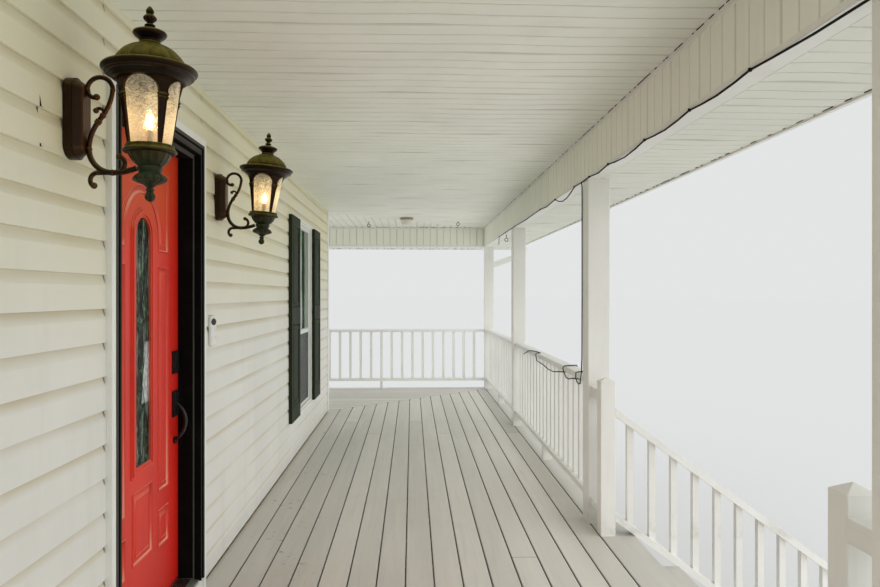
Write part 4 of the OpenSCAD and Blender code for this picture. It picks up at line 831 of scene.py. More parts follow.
def finish_of(name):
    """The material of a slot, with /x, /y or /z naming the direction of its grain. Panels with /z, those
    of the beams, are a painted brighter copy of the ceiling's colour; plastic with /z is that of the lamps'
    sleeves, in dark brown."""
    if name not in FINISHES:
        look = bpy.context.scene.porch_colours
        slot, _, way = name.partition("/")
        axis = {"x": 0, "y": 1, "z": 2, "": 1}[way]
        make = {
            "concrete": lambda: block_wall(name, (0.42, 0.41, 0.39)),
            "wall_board": lambda: sheathing(name, (0.5, 0.38, 0.23)),
            "cream_siding": lambda: vinyl(name, tuple(look.siding), axis, wave=0.006, lap=LAP),
            "white_trim": lambda: vinyl(name, tuple(look.trim), 2, 0.36, 0.3),
            "black_paint": lambda: dark_paint(name, (0.003, 0.003, 0.003), 0.6, 0.04, 0.05, 0.45),
            "aluminium": lambda: metal(name, (0.55, 0.55, 0.54), 0.34),
            "black_metal": lambda: dark_paint(name, (0.004, 0.0045, 0.005), 0.34, 0.05, 0.45),
            "red_paint": lambda: gloss_door(name, tuple(look.door)),
            "decorative_glass": lambda: patterned_glass(name, (0.035, 0.05, 0.035)),
            "white_vinyl": lambda: vinyl(name, (0.8, 0.8, 0.78), 2, 0.3, 0.2),
            "clear_glass": lambda: dark_glass(name, (0.05, 0.085, 0.05)),
            "screen_mesh": lambda: insect_screen(name, (0.1, 0.11, 0.11)),
            "dark_shutter": lambda: dark_paint(name, tuple(look.shutter), 0.55, 0.1, 0.06),
            "lantern_bronze": lambda: aged_bronze(
                name, *(((0.0085, 0.0065, 0.0045), (0.25, 0.215, 0.032), 1.0) if axis == 2
                        else ((0.011, 0.0072, 0.0035), (0.2, 0.13, 0.04), 0.0))),
            "seeded_glass": lambda: seeded_glass(name, (0.92, 0.83, 0.66)),
            "lit_glass": lambda: lit_bulb(name, (1.0, 0.8, 0.5), 8.0),
            "white_plastic": lambda: opal(name, (0.26, 0.19, 0.11) if axis == 2 else (0.78, 0.78, 0.76)),
            "deck_paint": lambda: deck_paint(name, tuple(look.deck), axis),
            "white_paint": lambda: painted_wood(name, tuple(look.paint), axis),
            "timber": lambda: bare_timber(name, (0.33, 0.25, 0.15), axis),
            # The beams' panels (/z) get the ceiling colour raised by 1.12: painted light on the beams.
            "cream_panel": lambda: vinyl(name, shade(look.ceiling, 1.12 if axis == 2 else 1.0), axis, 0.38,
                                         0.22, 0.012, grooves=0.4),
            "white_metal": lambda: coated_metal(name, (0.8, 0.8, 0.77)),
            "shingles": lambda: asphalt(name, (0.1, 0.095, 0.09), axis),
            "opal_glass": lambda: opal(name, (0.72, 0.7, 0.61), Plan.ceiling_z - 0.03),
            "zinc": lambda: metal(name, (0.09, 0.085, 0.08), 0.45, 2),
            "black_cable": lambda: rubber(name, (0.006, 0.006, 0.005)),
        }
        FINISHES[name] = make[slot]()
    return FINISHES[name]


# Settings


def length(name, description, default):
    """A setting in metres."""
    return bpy.props.FloatProperty(name=name, description=description, default=default, unit="LENGTH")


def tint(name, description, default):
    """A setting that is a colour."""
    return bpy.props.FloatVectorProperty(name=name, description=description, default=default, subtype="COLOR")


class PorchSizes(bpy.types.PropertyGroup):
    """Sizes of the dressed pieces."""

    board_width: length("Board width", "Width of a deck board", 0.1397)
    board_gap: length("Board gap", "Gap between two deck boards", 0.0048)
    border_width: length("Border width", "Width of the deck's border board", 0.2065)
    board_ease: length("Board edge", "Rounding of a deck board's edges", 0.004)
    post_width: length("Post width", "Width of a tall post", 0.14)
    newel_width: length("Newel width", "Width of a newel post", 0.089)
    beam_width: length("Beam width", "Width of a clad beam", 0.083)
    rail_thickness: length("Rail thickness", "Thickness of a rail", 0.038)
    rail_width: length("Rail width", "Width of a rail", 0.089)
    low_rail: length("Bottom rail", "Height of the bottom rail's top", 0.165)
    baluster: length("Baluster", "Width of a baluster", 0.038)
    front_pitch: length("Front spacing", "Largest spacing of the front balusters", 0.169)
    side_pitch: length("Side spacing", "Largest spacing of the side balusters", 0.16)
    panel_pitch: length("Panel groove spacing", "Spacing of the soffit's grooves", 0.1016)
    groove_depth: length("Groove depth", "Depth of a soffit groove", 0.006)
    panel_sag: length("Panel sag", "Height of the slow waves in the ceiling", 0.0045)
    shingle_course: length("Shingle course", "Run of one course of shingles", 0.1365)


class PorchColours(bpy.types.PropertyGroup):
    """Colours of the main finishes."""

    siding: tint("Siding", "Colour of the lap siding", (0.77, 0.762, 0.725))
    trim: tint("Trim", "Colour of the trim strips", (0.83, 0.83, 0.795))
    ceiling: tint("Ceiling", "Colour of the ceiling panels", (0.8, 0.812, 0.735))
    paint: tint("Posts and rails", "Colour of posts and railings", (0.86, 0.86, 0.835))
    deck: tint("Deck", "Colour of the deck paint", (0.66, 0.64, 0.59))
    door: tint("Door", "Colour of the entry door", (0.76, 0.024, 0.011))
    shutter: tint("Shutters", "Colour of the shutters", (0.017, 0.024, 0.011))


def sizes():
    """The scene's size settings."""
    return bpy.context.scene.porch_sizes


# Deck

JOINTS = (-3.9, -3.4, 5.1, -4.2, 4.4)  # places in Y of the joints in the front boards, in turn
OWN_JOINT = (11, 0.88)  # the one board whose joint is elsewhere, and its place in Y


def mitre_y(x, gap):
    """Where the corner's mitre crosses a line of constant x."""
    return Plan.corner_y + Plan.mitre * (x - Plan.wall_x) + gap


def board_strips(low, edge):
    """Place and width of each board across a deck: even boards, and a wide border board at its edge."""
    s = sizes()
    pitch = s.board_width + s.board_gap
    border = edge - s.border_width
    count = round((border - low) / pitch)
    return [(low + i * pitch, s.board_width) for i in range(count)] + [(border, s.border_width)]


class PORCH_OT_deck(bpy.types.Operator):
    """Deck boards with eased edges, cut at the corner's mitre and at staggered joints"""

    bl_idname = "porch.deck"
    bl_label = "Deck boards"

    def execute(self, context):
        ease = sizes().board_ease
        rng = np.random.default_rng(11)
        thick = Plan.deck_high[2] - Plan.deck_low[2]
        middle_z, gap = Plan.deck_z - thick / 2, 0.0024
        front = Surface()
        for i, (x, width) in enumerate(board_strips(Plan.deck_low[0], Plan.edge_x)):
            section = eased_rectangle(width, thick, ease)
            place = (x + width / 2, middle_z)
            ends = mitre_y(section[:, 0] + place[0], -gap)
            joint = OWN_JOINT[1] if i == OWN_JOINT[0] else JOINTS[i % len(JOINTS)]
            runs = [(Plan.deck_low[1], ends)]
            if joint < ends.min() - 0.5:
                runs = [(Plan.deck_low[1], joint - 0.002), (joint + 0.001, ends)]
            for start, stop in runs:
                rings = np.stack([on_axis(section, place, 1, start), on_axis(section, place, 1, stop)])
                front.add(*loft(rings), tone=rng.random())
        front.piece("front_boards", "deck_paint/y", replaces=["front_deck_boards"])

        side = Surface()
        for y, width in board_strips(Plan.side_low[1], Plan.edge_y):
            section = eased_rectangle(width, thick, ease)
            place = (y + width / 2, middle_z)
            ends = Plan.wall_x + (section[:, 0] + place[0] - Plan.corner_y - gap) / Plan.mitre
            rings = np.stack([on_axis(section, place, 0, Plan.side_low[0]), on_axis(section, place, 0, ends)])
            side.add(*loft(rings), tone=rng.random())
        side.piece("side_boards", "deck_paint/x", replaces=["side_deck_boards"])
        return {"FINISHED"}


# Railings and posts

NEWEL_CAP = 0.025  # rise of a newel's pointed top


def boxes_along(axis, start, stop, line, half, z0, z1):
    """Lowest and highest corners of boxes between stations of an axis, each centred on a line."""
    start, stop = np.atleast_1d(start), np.atleast_1d(stop)
    low, high = np.zeros((len(start), 3)), np.zeros((len(start), 3))
    low[:, axis], high[:, axis] = start, stop
    low[:, 1 - axis], high[:, 1 - axis] = line - half, line + half
    low[:, 2], high[:, 2] = z0, z1
    return low, high


def railing_bars(start, stop, axis, line, pitch):
    """A top rail, a bottom rail, even balusters and one foot block between two stations of an axis."""
    s = sizes()
    t, half = s.rail_thickness, s.baluster / 2
    top, low_top = corners("far_rail")[1][2], Plan.deck_z + s.low_rail
    section = eased_rectangle(s.rail_width, t, 0.003)
    rails = [bar(section, (line, z - t / 2), axis, start, stop) for z in (top, low_top)]
    n = math.ceil((stop - start) / pitch - 1e-6)
    at = start + (stop - start) * np.arange(1, n) / n
    balusters = boxes_along(axis, at - half, at + half, line, half, low_top - 0.004, top - t + 0.004)
    middle = (start + stop) / 2
    foot = boxes_along(axis, middle - half, middle + half, line, s.rail_width / 2 - 0.004, Plan.deck_z,
                       low_top - t + 0.003)
    return [*rails, eased_boxes(*balusters, 0.002), eased_boxes(*foot, 0.002)]


class PORCH_OT_railings(bpy.types.Operator):
    """Straight railings between the posts, with eased rails and balusters"""

    bl_idname = "porch.railings"
    bl_label = "Railings"

    def execute(self, context):
        s = sizes()
        w, rng = s.post_width, np.random.default_rng(3)
        fences = []
        for node, made in (("near_rail", "near_railing"), ("far_rail", "far_railing"),
                           ("corner_rail", "corner_railing")):
            low, high = corners(node)
            fences.append((node, made, [(low[1], high[1], 1, (low[0] + high[0]) / 2, s.front_pitch)]))
        low, high = corners("side_rail")
        fences.append(("side_rail", "side_railing",
                       [(low[0], high[0], 0, (low[1] + high[1]) / 2, s.side_pitch)]))
        trim = corners("wall_trim")[1]
        fences.append(("end_rails", "end_railings",
                       [(trim[0], Plan.post_high[0] - w, 0, Plan.post_low[1] + w / 2, s.side_pitch),
                        (trim[1], Plan.post_high[1] - w, 1, Plan.post_low[0] + w / 2, s.side_pitch)]))
        for node, made, runs in fences:
            surface = Surface()
            for run in runs:
                for shell in railing_bars(*run):
                    surface.add(*shell, tone=rng.random())
            surface.piece(made, "white_paint/z", replaces=[node])
        return {"FINISHED"}


def eased_shaft(low, high, width, ease, top):
    """A square post with eased edges, and a shallow pyramid of the given height on it."""
    section = eased_rectangle(width, width, ease)
    centre = (low[0] + width / 2, low[1] + width / 2)
    levels = [(1.0, low[2]), (1.0, high)] + ([(0.02, high + top)] if top else [])
    return loft(np.stack([on_axis(section * scale, centre, 2, z) for scale, z in levels]))


class PORCH_OT_posts(bpy.types.Operator):
    """Tall posts and newels with eased edges"""

    bl_idname = "porch.posts"
    bl_label = "Posts and newels"

    def execute(self, context):
        s = sizes()
        w, n = s.post_width, s.newel_width
        rng = np.random.default_rng(5)
        x1, y1 = Plan.post_high[0] - w, Plan.post_high[1] - w
        far_start, far_stop = (corner[1] for corner in corners("far_rail"))
        places = [(x1, Plan.post_low[1]), (x1, corners("near_rail")[1][1]), (x1, far_start - w),
                  (x1, far_stop), (x1, y1), (Plan.post_low[0], y1)]
        posts = Surface()
        for x, y in places:
            posts.add(*eased_shaft((x, y, Plan.deck_z), Plan.beam_z, w, 0.004, 0), tone=rng.random())
        posts.piece("tall_posts", "white_paint/z", replaces=["porch_posts"])

        low, high = corners("newel_posts")
        upper_x = corners("stub_rails")[0][0]
        newels = Surface()
        for y in (low[1], high[1] - n):
            for foot, top in (((upper_x, y, Plan.deck_z), high[2] - NEWEL_CAP),
                              ((high[0] - n, y, 0.0), foot_newel_top())):
                newels.add(*eased_shaft(foot, top, n, 0.003, NEWEL_CAP))
        newels.piece("newels", "white_paint/z", replaces=["newel_posts"])
        return {"FINISHED"}


def foot_newel_top():
    """Height of the lower newels' shafts, read from the frame's mesh beyond the stair's lower end."""
    mesh = frame["nodes"]["newel_posts"].data
    co = np.empty(len(mesh.vertices) * 3, np.float32)
    mesh.vertices.foreach_get("co", co)
    co = co.reshape(-1, 3)
    foot = co[co[:, 0] > Plan.edge_x + 0.3]
    return float(foot[:, 2].max() - NEWEL_CAP)


# Ceiling, beams and soffit


def groove_stations(start, stop, pitch, depth):
    """Stations and depths across grooved panels: at each pitch the surface drops into a narrow V with
    a flat foot; every third one is a joint of two panels and 1.7 times as wide."""
    half = 0.006
    k = np.arange(math.ceil(start / pitch) - 1, math.floor(stop / pitch) + 2)
    wide = np.where(k % 3 == 0, 1.7, 1.0)[:, None]
    at = k[:, None] * pitch + wide * np.array([-half, -half * 0.35, half * 0.35, half])
    deep = np.broadcast_to(depth * np.array([0.0, 1.0, 1.0, 0.0]), at.shape)
    at, deep = at.ravel(), deep.ravel()
    keep = (at > start + 0.001) & (at < stop - 0.001)
    at = np.concatenate([[start], at[keep], [stop]])
    deep = np.concatenate([[0.0], deep[keep], [0.0]])
    return at, deep


def panel_sheet(start, stop, axis, low_edge, high_edge, z0, z1):
    """Grooved panels laid flat: stations along one axis, the sheet's two edges as numbers or functions
    of them, grooves in the underside. Between the edges the underside sags in slow waves: three sines of both
    directions, whose phase changes from panel to panel, times a half sine that holds the edges level."""
    s = sizes()
    at, deep = groove_stations(start, stop, s.panel_pitch, s.groove_depth)
    a, b = (np.broadcast_to(edge(at) if callable(edge) else edge, at.shape)[:, None]
            for edge in (low_edge, high_edge))
    m = 17
    share = np.linspace(0, 1, m)
    across, along = a + (b - a) * share, at[:, None]
    phase = 2.4 * np.floor(along / (3 * s.panel_pitch))
    wave = (0.45 * np.sin(6.2 * across + 1.3 * along) + 0.35 * np.sin(11.0 * across + phase)
            + 0.3 * np.sin(3.1 * across - phase))
    sag = s.panel_sag * wave * np.sin(np.pi * share) ** 0.5
    rings = np.zeros((len(at), 2 * m, 3))
    rings[:, :, axis] = along
    rings[:, :, 1 - axis] = np.concatenate([across, across[:, ::-1]], 1)
    rings[:, :m, 2] = z0 + deep[:, None] + sag
    rings[:, m:, 2] = z1
    tone = np.zeros((len(at), 2 * m))
    tone[:, :m] = (deep / s.groove_depth)[:, None]
    return *loft(rings), tone.ravel()


def clad_beam(start, stop, axis, inner, outer, z0, z1, grooved=True):
    """A beam boxed in grooved panels: upright grooves in both faces, plain and slightly eased below."""
    s = sizes()
    at, deep = groove_stations(start, stop, s.panel_pitch, s.groove_depth if grooved else 0.0)
    sign, ease = math.copysign(1.0, outer - inner), 0.003
    a, b = inner + sign * deep, outer - sign * deep
    plain_a, plain_b = np.full_like(at, inner + sign * ease), np.full_like(at, outer - sign * ease)
    rings = np.zeros((len(at), 6, 3))
    rings[:, :, axis] = at[:, None]
    rings[:, :, 1 - axis] = np.stack([plain_a, plain_b, b, b, a, a], -1)
    rings[:, :, 2] = np.array([z0, z0, z0 + ease, z1, z1, z0 + ease])
    tone = (deep / s.groove_depth)[:, None] * np.array([0, 0, 1, 1, 1, 1])
    return *loft(rings), tone.ravel()


def broken_line(rng, start, stop, axis, line, z):
    """Short dark bars in a row along an axis, of random length and spacing, each an eased bar: painted shadow
    in the gaps at the panels' edges.
    """
    at = start + np.cumsum(rng.uniform(0.03, 0.15, 400))
    at = at[at < stop - 0.09]
    ends = at + rng.uniform(0.012, 0.07, len(at))
    return eased_boxes(*boxes_along(axis, at, ends, line, 0.001, z - 0.0035, z + 0.001), 0.0004)


class PORCH_OT_ceiling(bpy.types.Operator):
    """Grooved ceiling and soffit panels, and the beams clad in the same panels"""

    bl_idname = "porch.ceiling"
    bl_label = "Ceiling and beams"

    def execute(self, context):
        s = sizes()
        z, x0, y0 = Plan.ceiling_z, Plan.wall_x, Plan.corner_y
        low, high = corners("front_ceiling")
        front = panel_sheet(low[1], high[1], 1, lambda y: np.maximum(x0, x0 + y - y0), high[0], z, high[2])
        Surface().add(*front).piece("front_ceiling_panels", "cream_panel/x", replaces=["front_ceiling"])
        low, high = corners("side_ceiling")
        side = panel_sheet(low[0], high[0], 0, lambda x: np.maximum(y0, y0 + x - x0), high[1], z, high[2])
        Surface().add(*side).piece("side_ceiling_panels", "cream_panel/y", replaces=["side_ceiling"])

        w = s.beam_width
        post_x = Plan.post_high[0] - s.post_width
        post_y = Plan.post_high[1] - s.post_width
        near, back = Plan.post_low[1], Plan.post_low[0]
        runs = [(near, post_y + w, 1, post_x, post_x + w), (back, post_x, 0, post_y, post_y + w),
                (Plan.siding_x, post_x, 0, near + w, near),
                (corners("side_siding")[1][1], post_y, 1, back + w, back)]
        beams, edges, gaps = Surface(), Surface(), Surface()
        rng = np.random.default_rng(8)
        edge, proud, lip, step = 0.022, 0.0006, 0.0072, 0.012
        for start, stop, axis, inner, outer in runs:
            sign = math.copysign(1.0, outer - inner)
            beams.add(*clad_beam(start, stop, axis, inner, outer, Plan.beam_z + 0.001, z))
            edges.add(*clad_beam(start, stop, axis, inner - sign * proud, outer + sign * proud, Plan.beam_z,
                                 Plan.beam_z + edge, grooved=False))
            # Painted shadow: short black bars under the panels' lips at the beams and the soffit.
            gaps.add(*broken_line(rng, start + 0.1, stop - 0.1, axis, inner - sign * lip, z))
        low, high = corners("eave_soffit")
        gaps.add(*broken_line(rng, low[1], post_y, 1, high[0] - step, low[2]))
        gaps.add(*broken_line(rng, low[0], post_x, 0, high[1] - step, low[2]))
        beams.piece("beam_panels", "cream_panel/z", replaces=["porch_beams"])
        gaps.piece("panel_gap_shadows", "black_paint")
        edges.piece("beam_edges", "white_trim/z")

        bx, by = post_x + w, post_y + w
        soffit = Surface().add(*panel_sheet(low[1], by, 1, bx, high[0], low[2], high[2]))
        soffit.add(*panel_sheet(low[0], high[0], 0, by, high[1], low[2], high[2]))
        soffit.piece("soffit_panels", "cream_panel/x", replaces=["eave_soffit"])
        return {"FINISHED"}


# Roof


def course_stations(start, stop, run, butt):
    """Stations up a slope and the shingles' thickness there: it is full at each course's lower edge and
    thins to nothing under the next one."""
    n = math.ceil((start - stop) / run)
    k = np.arange(n)[:, None]
    at = start - (k + np.array([0.0, 0.999])) * run
    lift = np.broadcast_to(np.array([butt, 0.0006]), at.shape)
    at, lift = at.ravel(), lift.ravel()
    keep = at > stop
    return np.concatenate([at[keep], [stop]]), np.concatenate([lift[keep], [0.0006]])


class PORCH_OT_roof(bpy.types.Operator):
    """Two slopes of shingles in courses and the row of caps on the hip"""

    bl_idname = "porch.roof"
    bl_label = "Roof shingles"

    def execute(self, context):
        s = sizes()
        low, high = corners("roof")
        slab, butt = 0.03, 0.007
        eave_x, eave_y, eave_z = high[0], high[1], low[2]
        pitch = (high[2] - eave_z - slab) / max(eave_x - Plan.wall_x, eave_y - Plan.corner_y)
        shift = eave_y - eave_x
        core = slab - butt - 0.001

        for name, axis, eave, wall, start in (("front_shingles", 1, eave_x, Plan.wall_x, low[1]),
                                              ("side_shingles", 0, eave_y, Plan.corner_y, low[0])):
            at, lift = course_stations(eave, wall, s.shingle_course, butt)
            under = eave_z + pitch * (eave - at)
            top = under + core + lift
            hip = at + shift if axis == 1 else at - shift
            near = np.full_like(at, start)
            rings = np.zeros((len(at), 4, 3))
            rings[:, :, 1 - axis] = at[:, None]
            rings[:, :, axis] = np.stack([near, near, hip, hip], -1)
            rings[:, :, 2] = np.stack([under, top, top, under], -1)
            Surface().add(*loft(rings)).piece(name, f"shingles/{'y' if axis == 1 else 'x'}",
                                              replaces=["roof"] if axis == 1 else ())
        caps = Surface()
        step, long, half = 0.12, 0.2, 0.14
        for k in range(int((eave_x - Plan.wall_x) / step)):
            t0 = eave_x - 0.004 - k * step
            t1 = max(t0 - long, Plan.wall_x + 0.002)
            rings = []
            for t, rise in ((t0, 0.0), (t1, -0.0045)):
                y, z = t + shift, eave_z + pitch * (eave_x - t) + slab + rise - 0.0015
                rings.append([(t, y - half, z - 0.001), (t, y, z + 0.0015), (t - half, y, z - 0.001),
                              (t - half, y, z - 0.006), (t, y, z - 0.005), (t, y - half, z - 0.006)])
            caps.add(*loft(np.array(rings)))
        caps.piece("hip_caps", "shingles/y")
        return {"FINISHED"}


# Door


def leaf_panels():
    """Outlines of the leaf's panels in Y and Z, each a closed list of points."""
    glass_low, glass_high = corners("door_glass")
    frame_y = corners("door_lite_frame")[1][1]
    foot = Plan.leaf_low[2]
    r = (glass_high[1] - glass_low[1]) / 2
    spring = glass_high[2] - r
    tall = glass_high[2] - glass_low[2]
    mid = foot + (glass_low[2] - foot) * 0.74
    a, b = 1.5 * frame_y, 2.541 * frame_y
    top, start = Plan.leaf_high[2] - 0.115, spring - r * 0.6

    outlines = []
    for y0, y1 in ((-b, -a), (a, b)):
        outlines.append(rectangle(y0, y1, foot + 0.23, foot + 0.395))
        outlines.append(rectangle(y0, y1, mid, glass_low[2] + tall * 0.807))
    outlines.append(rectangle(-0.885 * frame_y, 0.885 * frame_y, foot + 0.25, mid + 0.07))
    crown = arc((0, spring), a, 180, 0, 33).tolist()
    outlines.append(np.array([(-b, start), (-a, start), *crown, (a, start), (b, start), (b, top), (-b, top)]))
    return outlines


def strips_in_glass():
    """Thin metal strips on both faces of the door's glass: one follows its outline, and two sines of one
    and a half turns cross each other up its height."""
    low, high = corners("door_glass")
    r, inset = (high[1] - low[1]) / 2, 0.012
    spring, foot = high[2] - r, low[2]
    edge = np.array([(-r + inset, foot + inset), (r - inset, foot + inset),
                     *arc((0, spring), r - inset, 0, 180, 31).tolist()])
    t = np.linspace(0, 1, 81)
    wave, rise = (r - 0.02) * np.sin(3 * np.pi * t) * 0.62, foot + 0.02 + (spring - foot + 0.02) * t
    strips = Surface()
    for x in (low[0] - 0.0004, high[0] + 0.0004):
        for y, z, loop in ((edge[:, 0], edge[:, 1], True), (-wave, rise, False), (wave, rise, False)):
            strips.add(*tube(np.stack([np.full_like(y, x), y, z], -1), 0.0013, 6, loop))
    strips.piece("glass_strips", "black_metal", DOOR, smooth=40)


def threshold_ribs():
    """Six ribs along the threshold, in front of the leaf."""
    low, high = corners("door_threshold")
    at = Plan.leaf_high[0] + 0.008 + 0.0105 * np.arange(6)
    even = np.ones(6)
    ribs_low = np.stack([at, (low[1] + 0.012) * even, (high[2] - 0.003) * even], -1)
    ribs_high = np.stack([at + 0.0065, (high[1] - 0.012) * even, (high[2] + 0.0008) * even], -1)
    Surface().add(*eased_boxes(ribs_low, ribs_high, 0.0008)).piece("threshold_ribs", "black_paint")


def doorbell():
    """The doorbell's case with round ends, on a wedge that turns it by an angle a towards the stairs, and
    its dark eye. Depth d and width w go to x = d cos a + w sin a and y = w cos a - d sin a."""
    low, high = corners("doorbell")
    half, middle = (high[1] - low[1]) / 2, (high[1] + low[1]) / 2
    turn, stand, eye_height = math.radians(27), 0.0105, 0.129
    front = high[0] - low[0] - 0.0115

    def turned_out(points):
        d, w = points[..., 0], points[..., 1]
        x = low[0] + stand + d * math.cos(turn) + w * math.sin(turn)
        y = middle - d * math.sin(turn) + w * math.cos(turn)
        return np.stack([x, y, points[..., 2]], -1)

    outline = np.concatenate([arc((middle, high[2] - half), half, 0, 180, 25),
                              arc((middle, low[2] + half), half, 180, 360, 25)])
    axis_z = np.clip(outline[:, 1], low[2] + half, high[2] - half)
    away = outline - np.stack([np.full(50, middle), axis_z], -1)
    away /= np.linalg.norm(away, axis=1)[:, None]
    inset = np.array([0.0, 0.0, 0.0008, 0.0028, 0.0065])[:, None, None]
    depth = np.array([0.0, front - 0.008, front - 0.005, front - 0.0025, front - 0.0015])
    rings = np.zeros((5, 50, 3))
    rings[..., 1:] = outline[None] - inset * away[None] - (middle, 0)
    rings[..., 0] = depth[:, None]
    foot = rings[0] + (low[0], middle, 0)
    rings = np.concatenate([foot[None], turned_out(rings)])
    Surface().add(*loft(rings)).piece("doorbell_case", "white_plastic", smooth=50, replaces=["doorbell"])
    eye = ((0.3, 0), (9, 0), (16, -0.6), (19, -2.2), (19.6, -4.5), (0.3, -4.5))
    rings = turned_out(lobed(softened(eye, 1), 1, 0.0, 48)[..., [2, 0, 1]] + (front, 0, low[2] + eye_height))
    Surface().add(*loft(rings)).piece("doorbell_eye", "black_metal", smooth=50)


class PORCH_OT_door(bpy.types.Operator):
    """Mouldings round the entry door's panels, strips in its glass, threshold ribs and the doorbell"""

    bl_idname = "porch.door"
    bl_label = "Entry door"

    def execute(self, context):
        wide, deep = 0.035, 0.0075
        across = np.array([0.0, 0.04, 0.1, 0.24, 0.3, 0.42, 0.5, 0.56, 0.9, 0.97, 1.0, 1.0, 0.0]) * wide
        height = np.array([-0.02, 0.5, 0.45, -0.55, -0.7, -0.78, -0.7, -0.6, 0.12, 0.3, 0.2, -0.8,
                           -0.8]) * deep
        trims = Surface()
        for outline in leaf_panels():
            for x, out in ((Plan.leaf_high[0], 1), (Plan.leaf_low[0], -1)):
                trims.add(*moulding(outline, np.stack([-across, height], -1), x, out))
        trims.piece("leaf_mouldings", "red_paint", DOOR, smooth=50)
        strips_in_glass()
        threshold_ribs()
        doorbell()
        return {"FINISHED"}


class PORCH_OT_seam(bpy.types.Operator):
    """A sprung joint of two siding courses beside the near lantern: the lifted edge, and a dark sheet behind
    it as the painted shadow of its gap
    """

    bl_idname = "porch.seam"
    bl_label = "Siding joint"

    def execute(self, context):
        y, height, out = -0.989, 3.064, Plan.siding_x
        near, far, lean, behind = y + 0.012, y + 0.075, 0.0105, 0.002
        first = Plan.lap_z + LAP * round((height - Plan.lap_z) / LAP)
        flaps, gaps = Surface(), Surface()
        for z0, z1, lift in ((first + 0.001, first + 0.066, (0.0045, 0.0002)),
                             (first - 0.046, first - 0.002, (0.0002, 0.0042)),
                             (first - LAP + 0.003, first - LAP + 0.012, (0.004, 0.003))):
            z = np.linspace(z0, z1, 9)
            base = out - lean * np.clip((z - first) % LAP / LAP, 0, 1)
            rise = np.interp(z, (z0, z1), lift)
            # The gaps surface is a dark sheet behind each lifted edge: painted shadow.
            for surface, start, stop, x0, x1 in ((gaps, y - 0.0012, near, base + rise, base + rise),
                                                 (flaps, y, far, base + rise + 0.0009, base + 0.0002)):
                rings = np.zeros((9, 4, 3))
                rings[:, :, 0] = np.stack([base - behind, base - behind, x1, x0], -1)
                rings[:, :, 1] = np.array([start, stop, stop, start])
                rings[:, :, 2] = z[:, None]
                surface.add(*loft(rings))
        flaps.piece("siding_flaps", "cream_siding/y")
        gaps.piece("siding_gap_shadows", "black_paint")
        return {"FINISHED"}


# Lanterns


# Turned members of a lantern: lobes, their depth, sides, hollow flutes, closed ring, then radius and
# height below the crown in millimetres.
LANTERN_MEMBERS = (
    (6, 0.2, 96, False, False, (  # finial
        (0.4, 0), (4, -2), (8, -7), (11.5, -14), (12, -19), (9.5, -25), (12, -27), (17, -31), (20.5, -37),
        (18, -43), (11, -49), (8, -52), (8, -58))),
    (10, 0.075, 120, False, False, (  # dome
        (30, -118), (44, -121.5), (60, -128), (76, -138), (90, -151), (100, -166), (105, -178), (106, -188))),
    (16, 0.05, 96, True, False, (  # bowl
        (50, -444), (62, -446), (61.5, -453), (58, -462), (52, -471), (43, -480), (34, -487), (26, -490))),
    (12, 0.12, 96, False, False, (  # disc below it
        (20, -508), (34, -509.5), (43, -515), (49, -522), (51, -528), (48, -532), (36, -537), (20, -542),
        (13, -549), (8, -552))),
    (5, 0.22, 80, False, False, (  # drop
        (7, -546), (9, -554), (13, -557), (13, -560), (9, -564), (13, -570), (16, -578), (14.5, -586),
        (8, -593), (0.4, -595))),
    (1, 0.0, 96, False, False, (  # neck
        (7, -53), (9, -56), (15, -57), (16, -60), (15, -63), (11, -65), (13, -68), (28, -72), (45, -78),
        (49, -82), (49.5, -86), (46, -92), (37, -99), (31, -105), (29, -111), (33, -114), (35, -117),
        (34, -121), (36, -126))),
    (1, 0.0, 96, False, False, (  # waist
        (20, -484), (33, -486), (36, -491), (36.5, -496), (34, -501), (31.5, -506), (33, -510), (30, -513))),
    (1, 0.0, 96, False, True, (  # rim
        (96, -184), (112, -184), (118, -185), (119, -187), (128, -187.5), (135, -190), (139, -195),
        (138.5, -200), (134, -204), (130, -205), (129, -208), (130, -211), (126, -215), (118, -217),
        (116, -220), (110, -223), (106, -229), (100, -232), (92, -232), (92, -205))),
    (1, 0.0, 96, False, True, (  # lip
        (56, -423), (68, -423), (71, -425), (72, -430), (74, -436), (78, -440), (79, -443.5), (75, -447),
        (66, -448.5), (56, -448))),
)


def softened(profile, passes=2):
    """Cuts the corners of a profile in millimetres and gives it in metres: each leg leaves points at a
    quarter and three quarters of its length, and the two ends stay."""
    profile = np.array(profile, float) / 1000
    for _ in range(passes):
        a, b = profile[:-1], profile[1:]
        cut = np.stack([0.75 * a + 0.25 * b, 0.25 * a + 0.75 * b], 1).reshape(-1, 2)
        profile = np.concatenate([profile[:1], cut, profile[-1:]])
    return profile


def lobed(profile, count, depth, sides=96, hollow=False):
    """Rings of a turned profile. The radius is multiplied by 1 - depth * u, and u round the circle is
    (1 - |sin(n a / 2)|) squared for swelling lobes with creases, or |sin(n a / 2)| for hollow flutes;
    the depth fades to nothing at both ends of the profile as a half sine."""
    angle = np.linspace(0, 2 * math.pi, sides, endpoint=False)
    wave = np.abs(np.sin(count * angle / 2))
    u = wave if hollow else (1 - wave) ** 2
    share = np.sin(np.pi * np.linspace(0, 1, len(profile))) ** 0.6
    r = profile[:, :1] * (1 - depth * share[:, None] * u)
    z = np.broadcast_to(profile[:, 1:], r.shape)
    return np.stack([r * np.cos(angle), r * np.sin(angle), z], -1)


def window_half(z):
    """Half the width of a lantern's window at a height below the crown: straight sides that widen
    upwards to the spring, and half an ellipse over them."""
    straight = 0.042 + 0.008 * (z + 0.424) / 0.154
    rise = np.clip((z + 0.27) / 0.038, 0, 1)
    return np.where(z < -0.27, straight, 0.05 * np.sqrt(1 - rise ** 2))


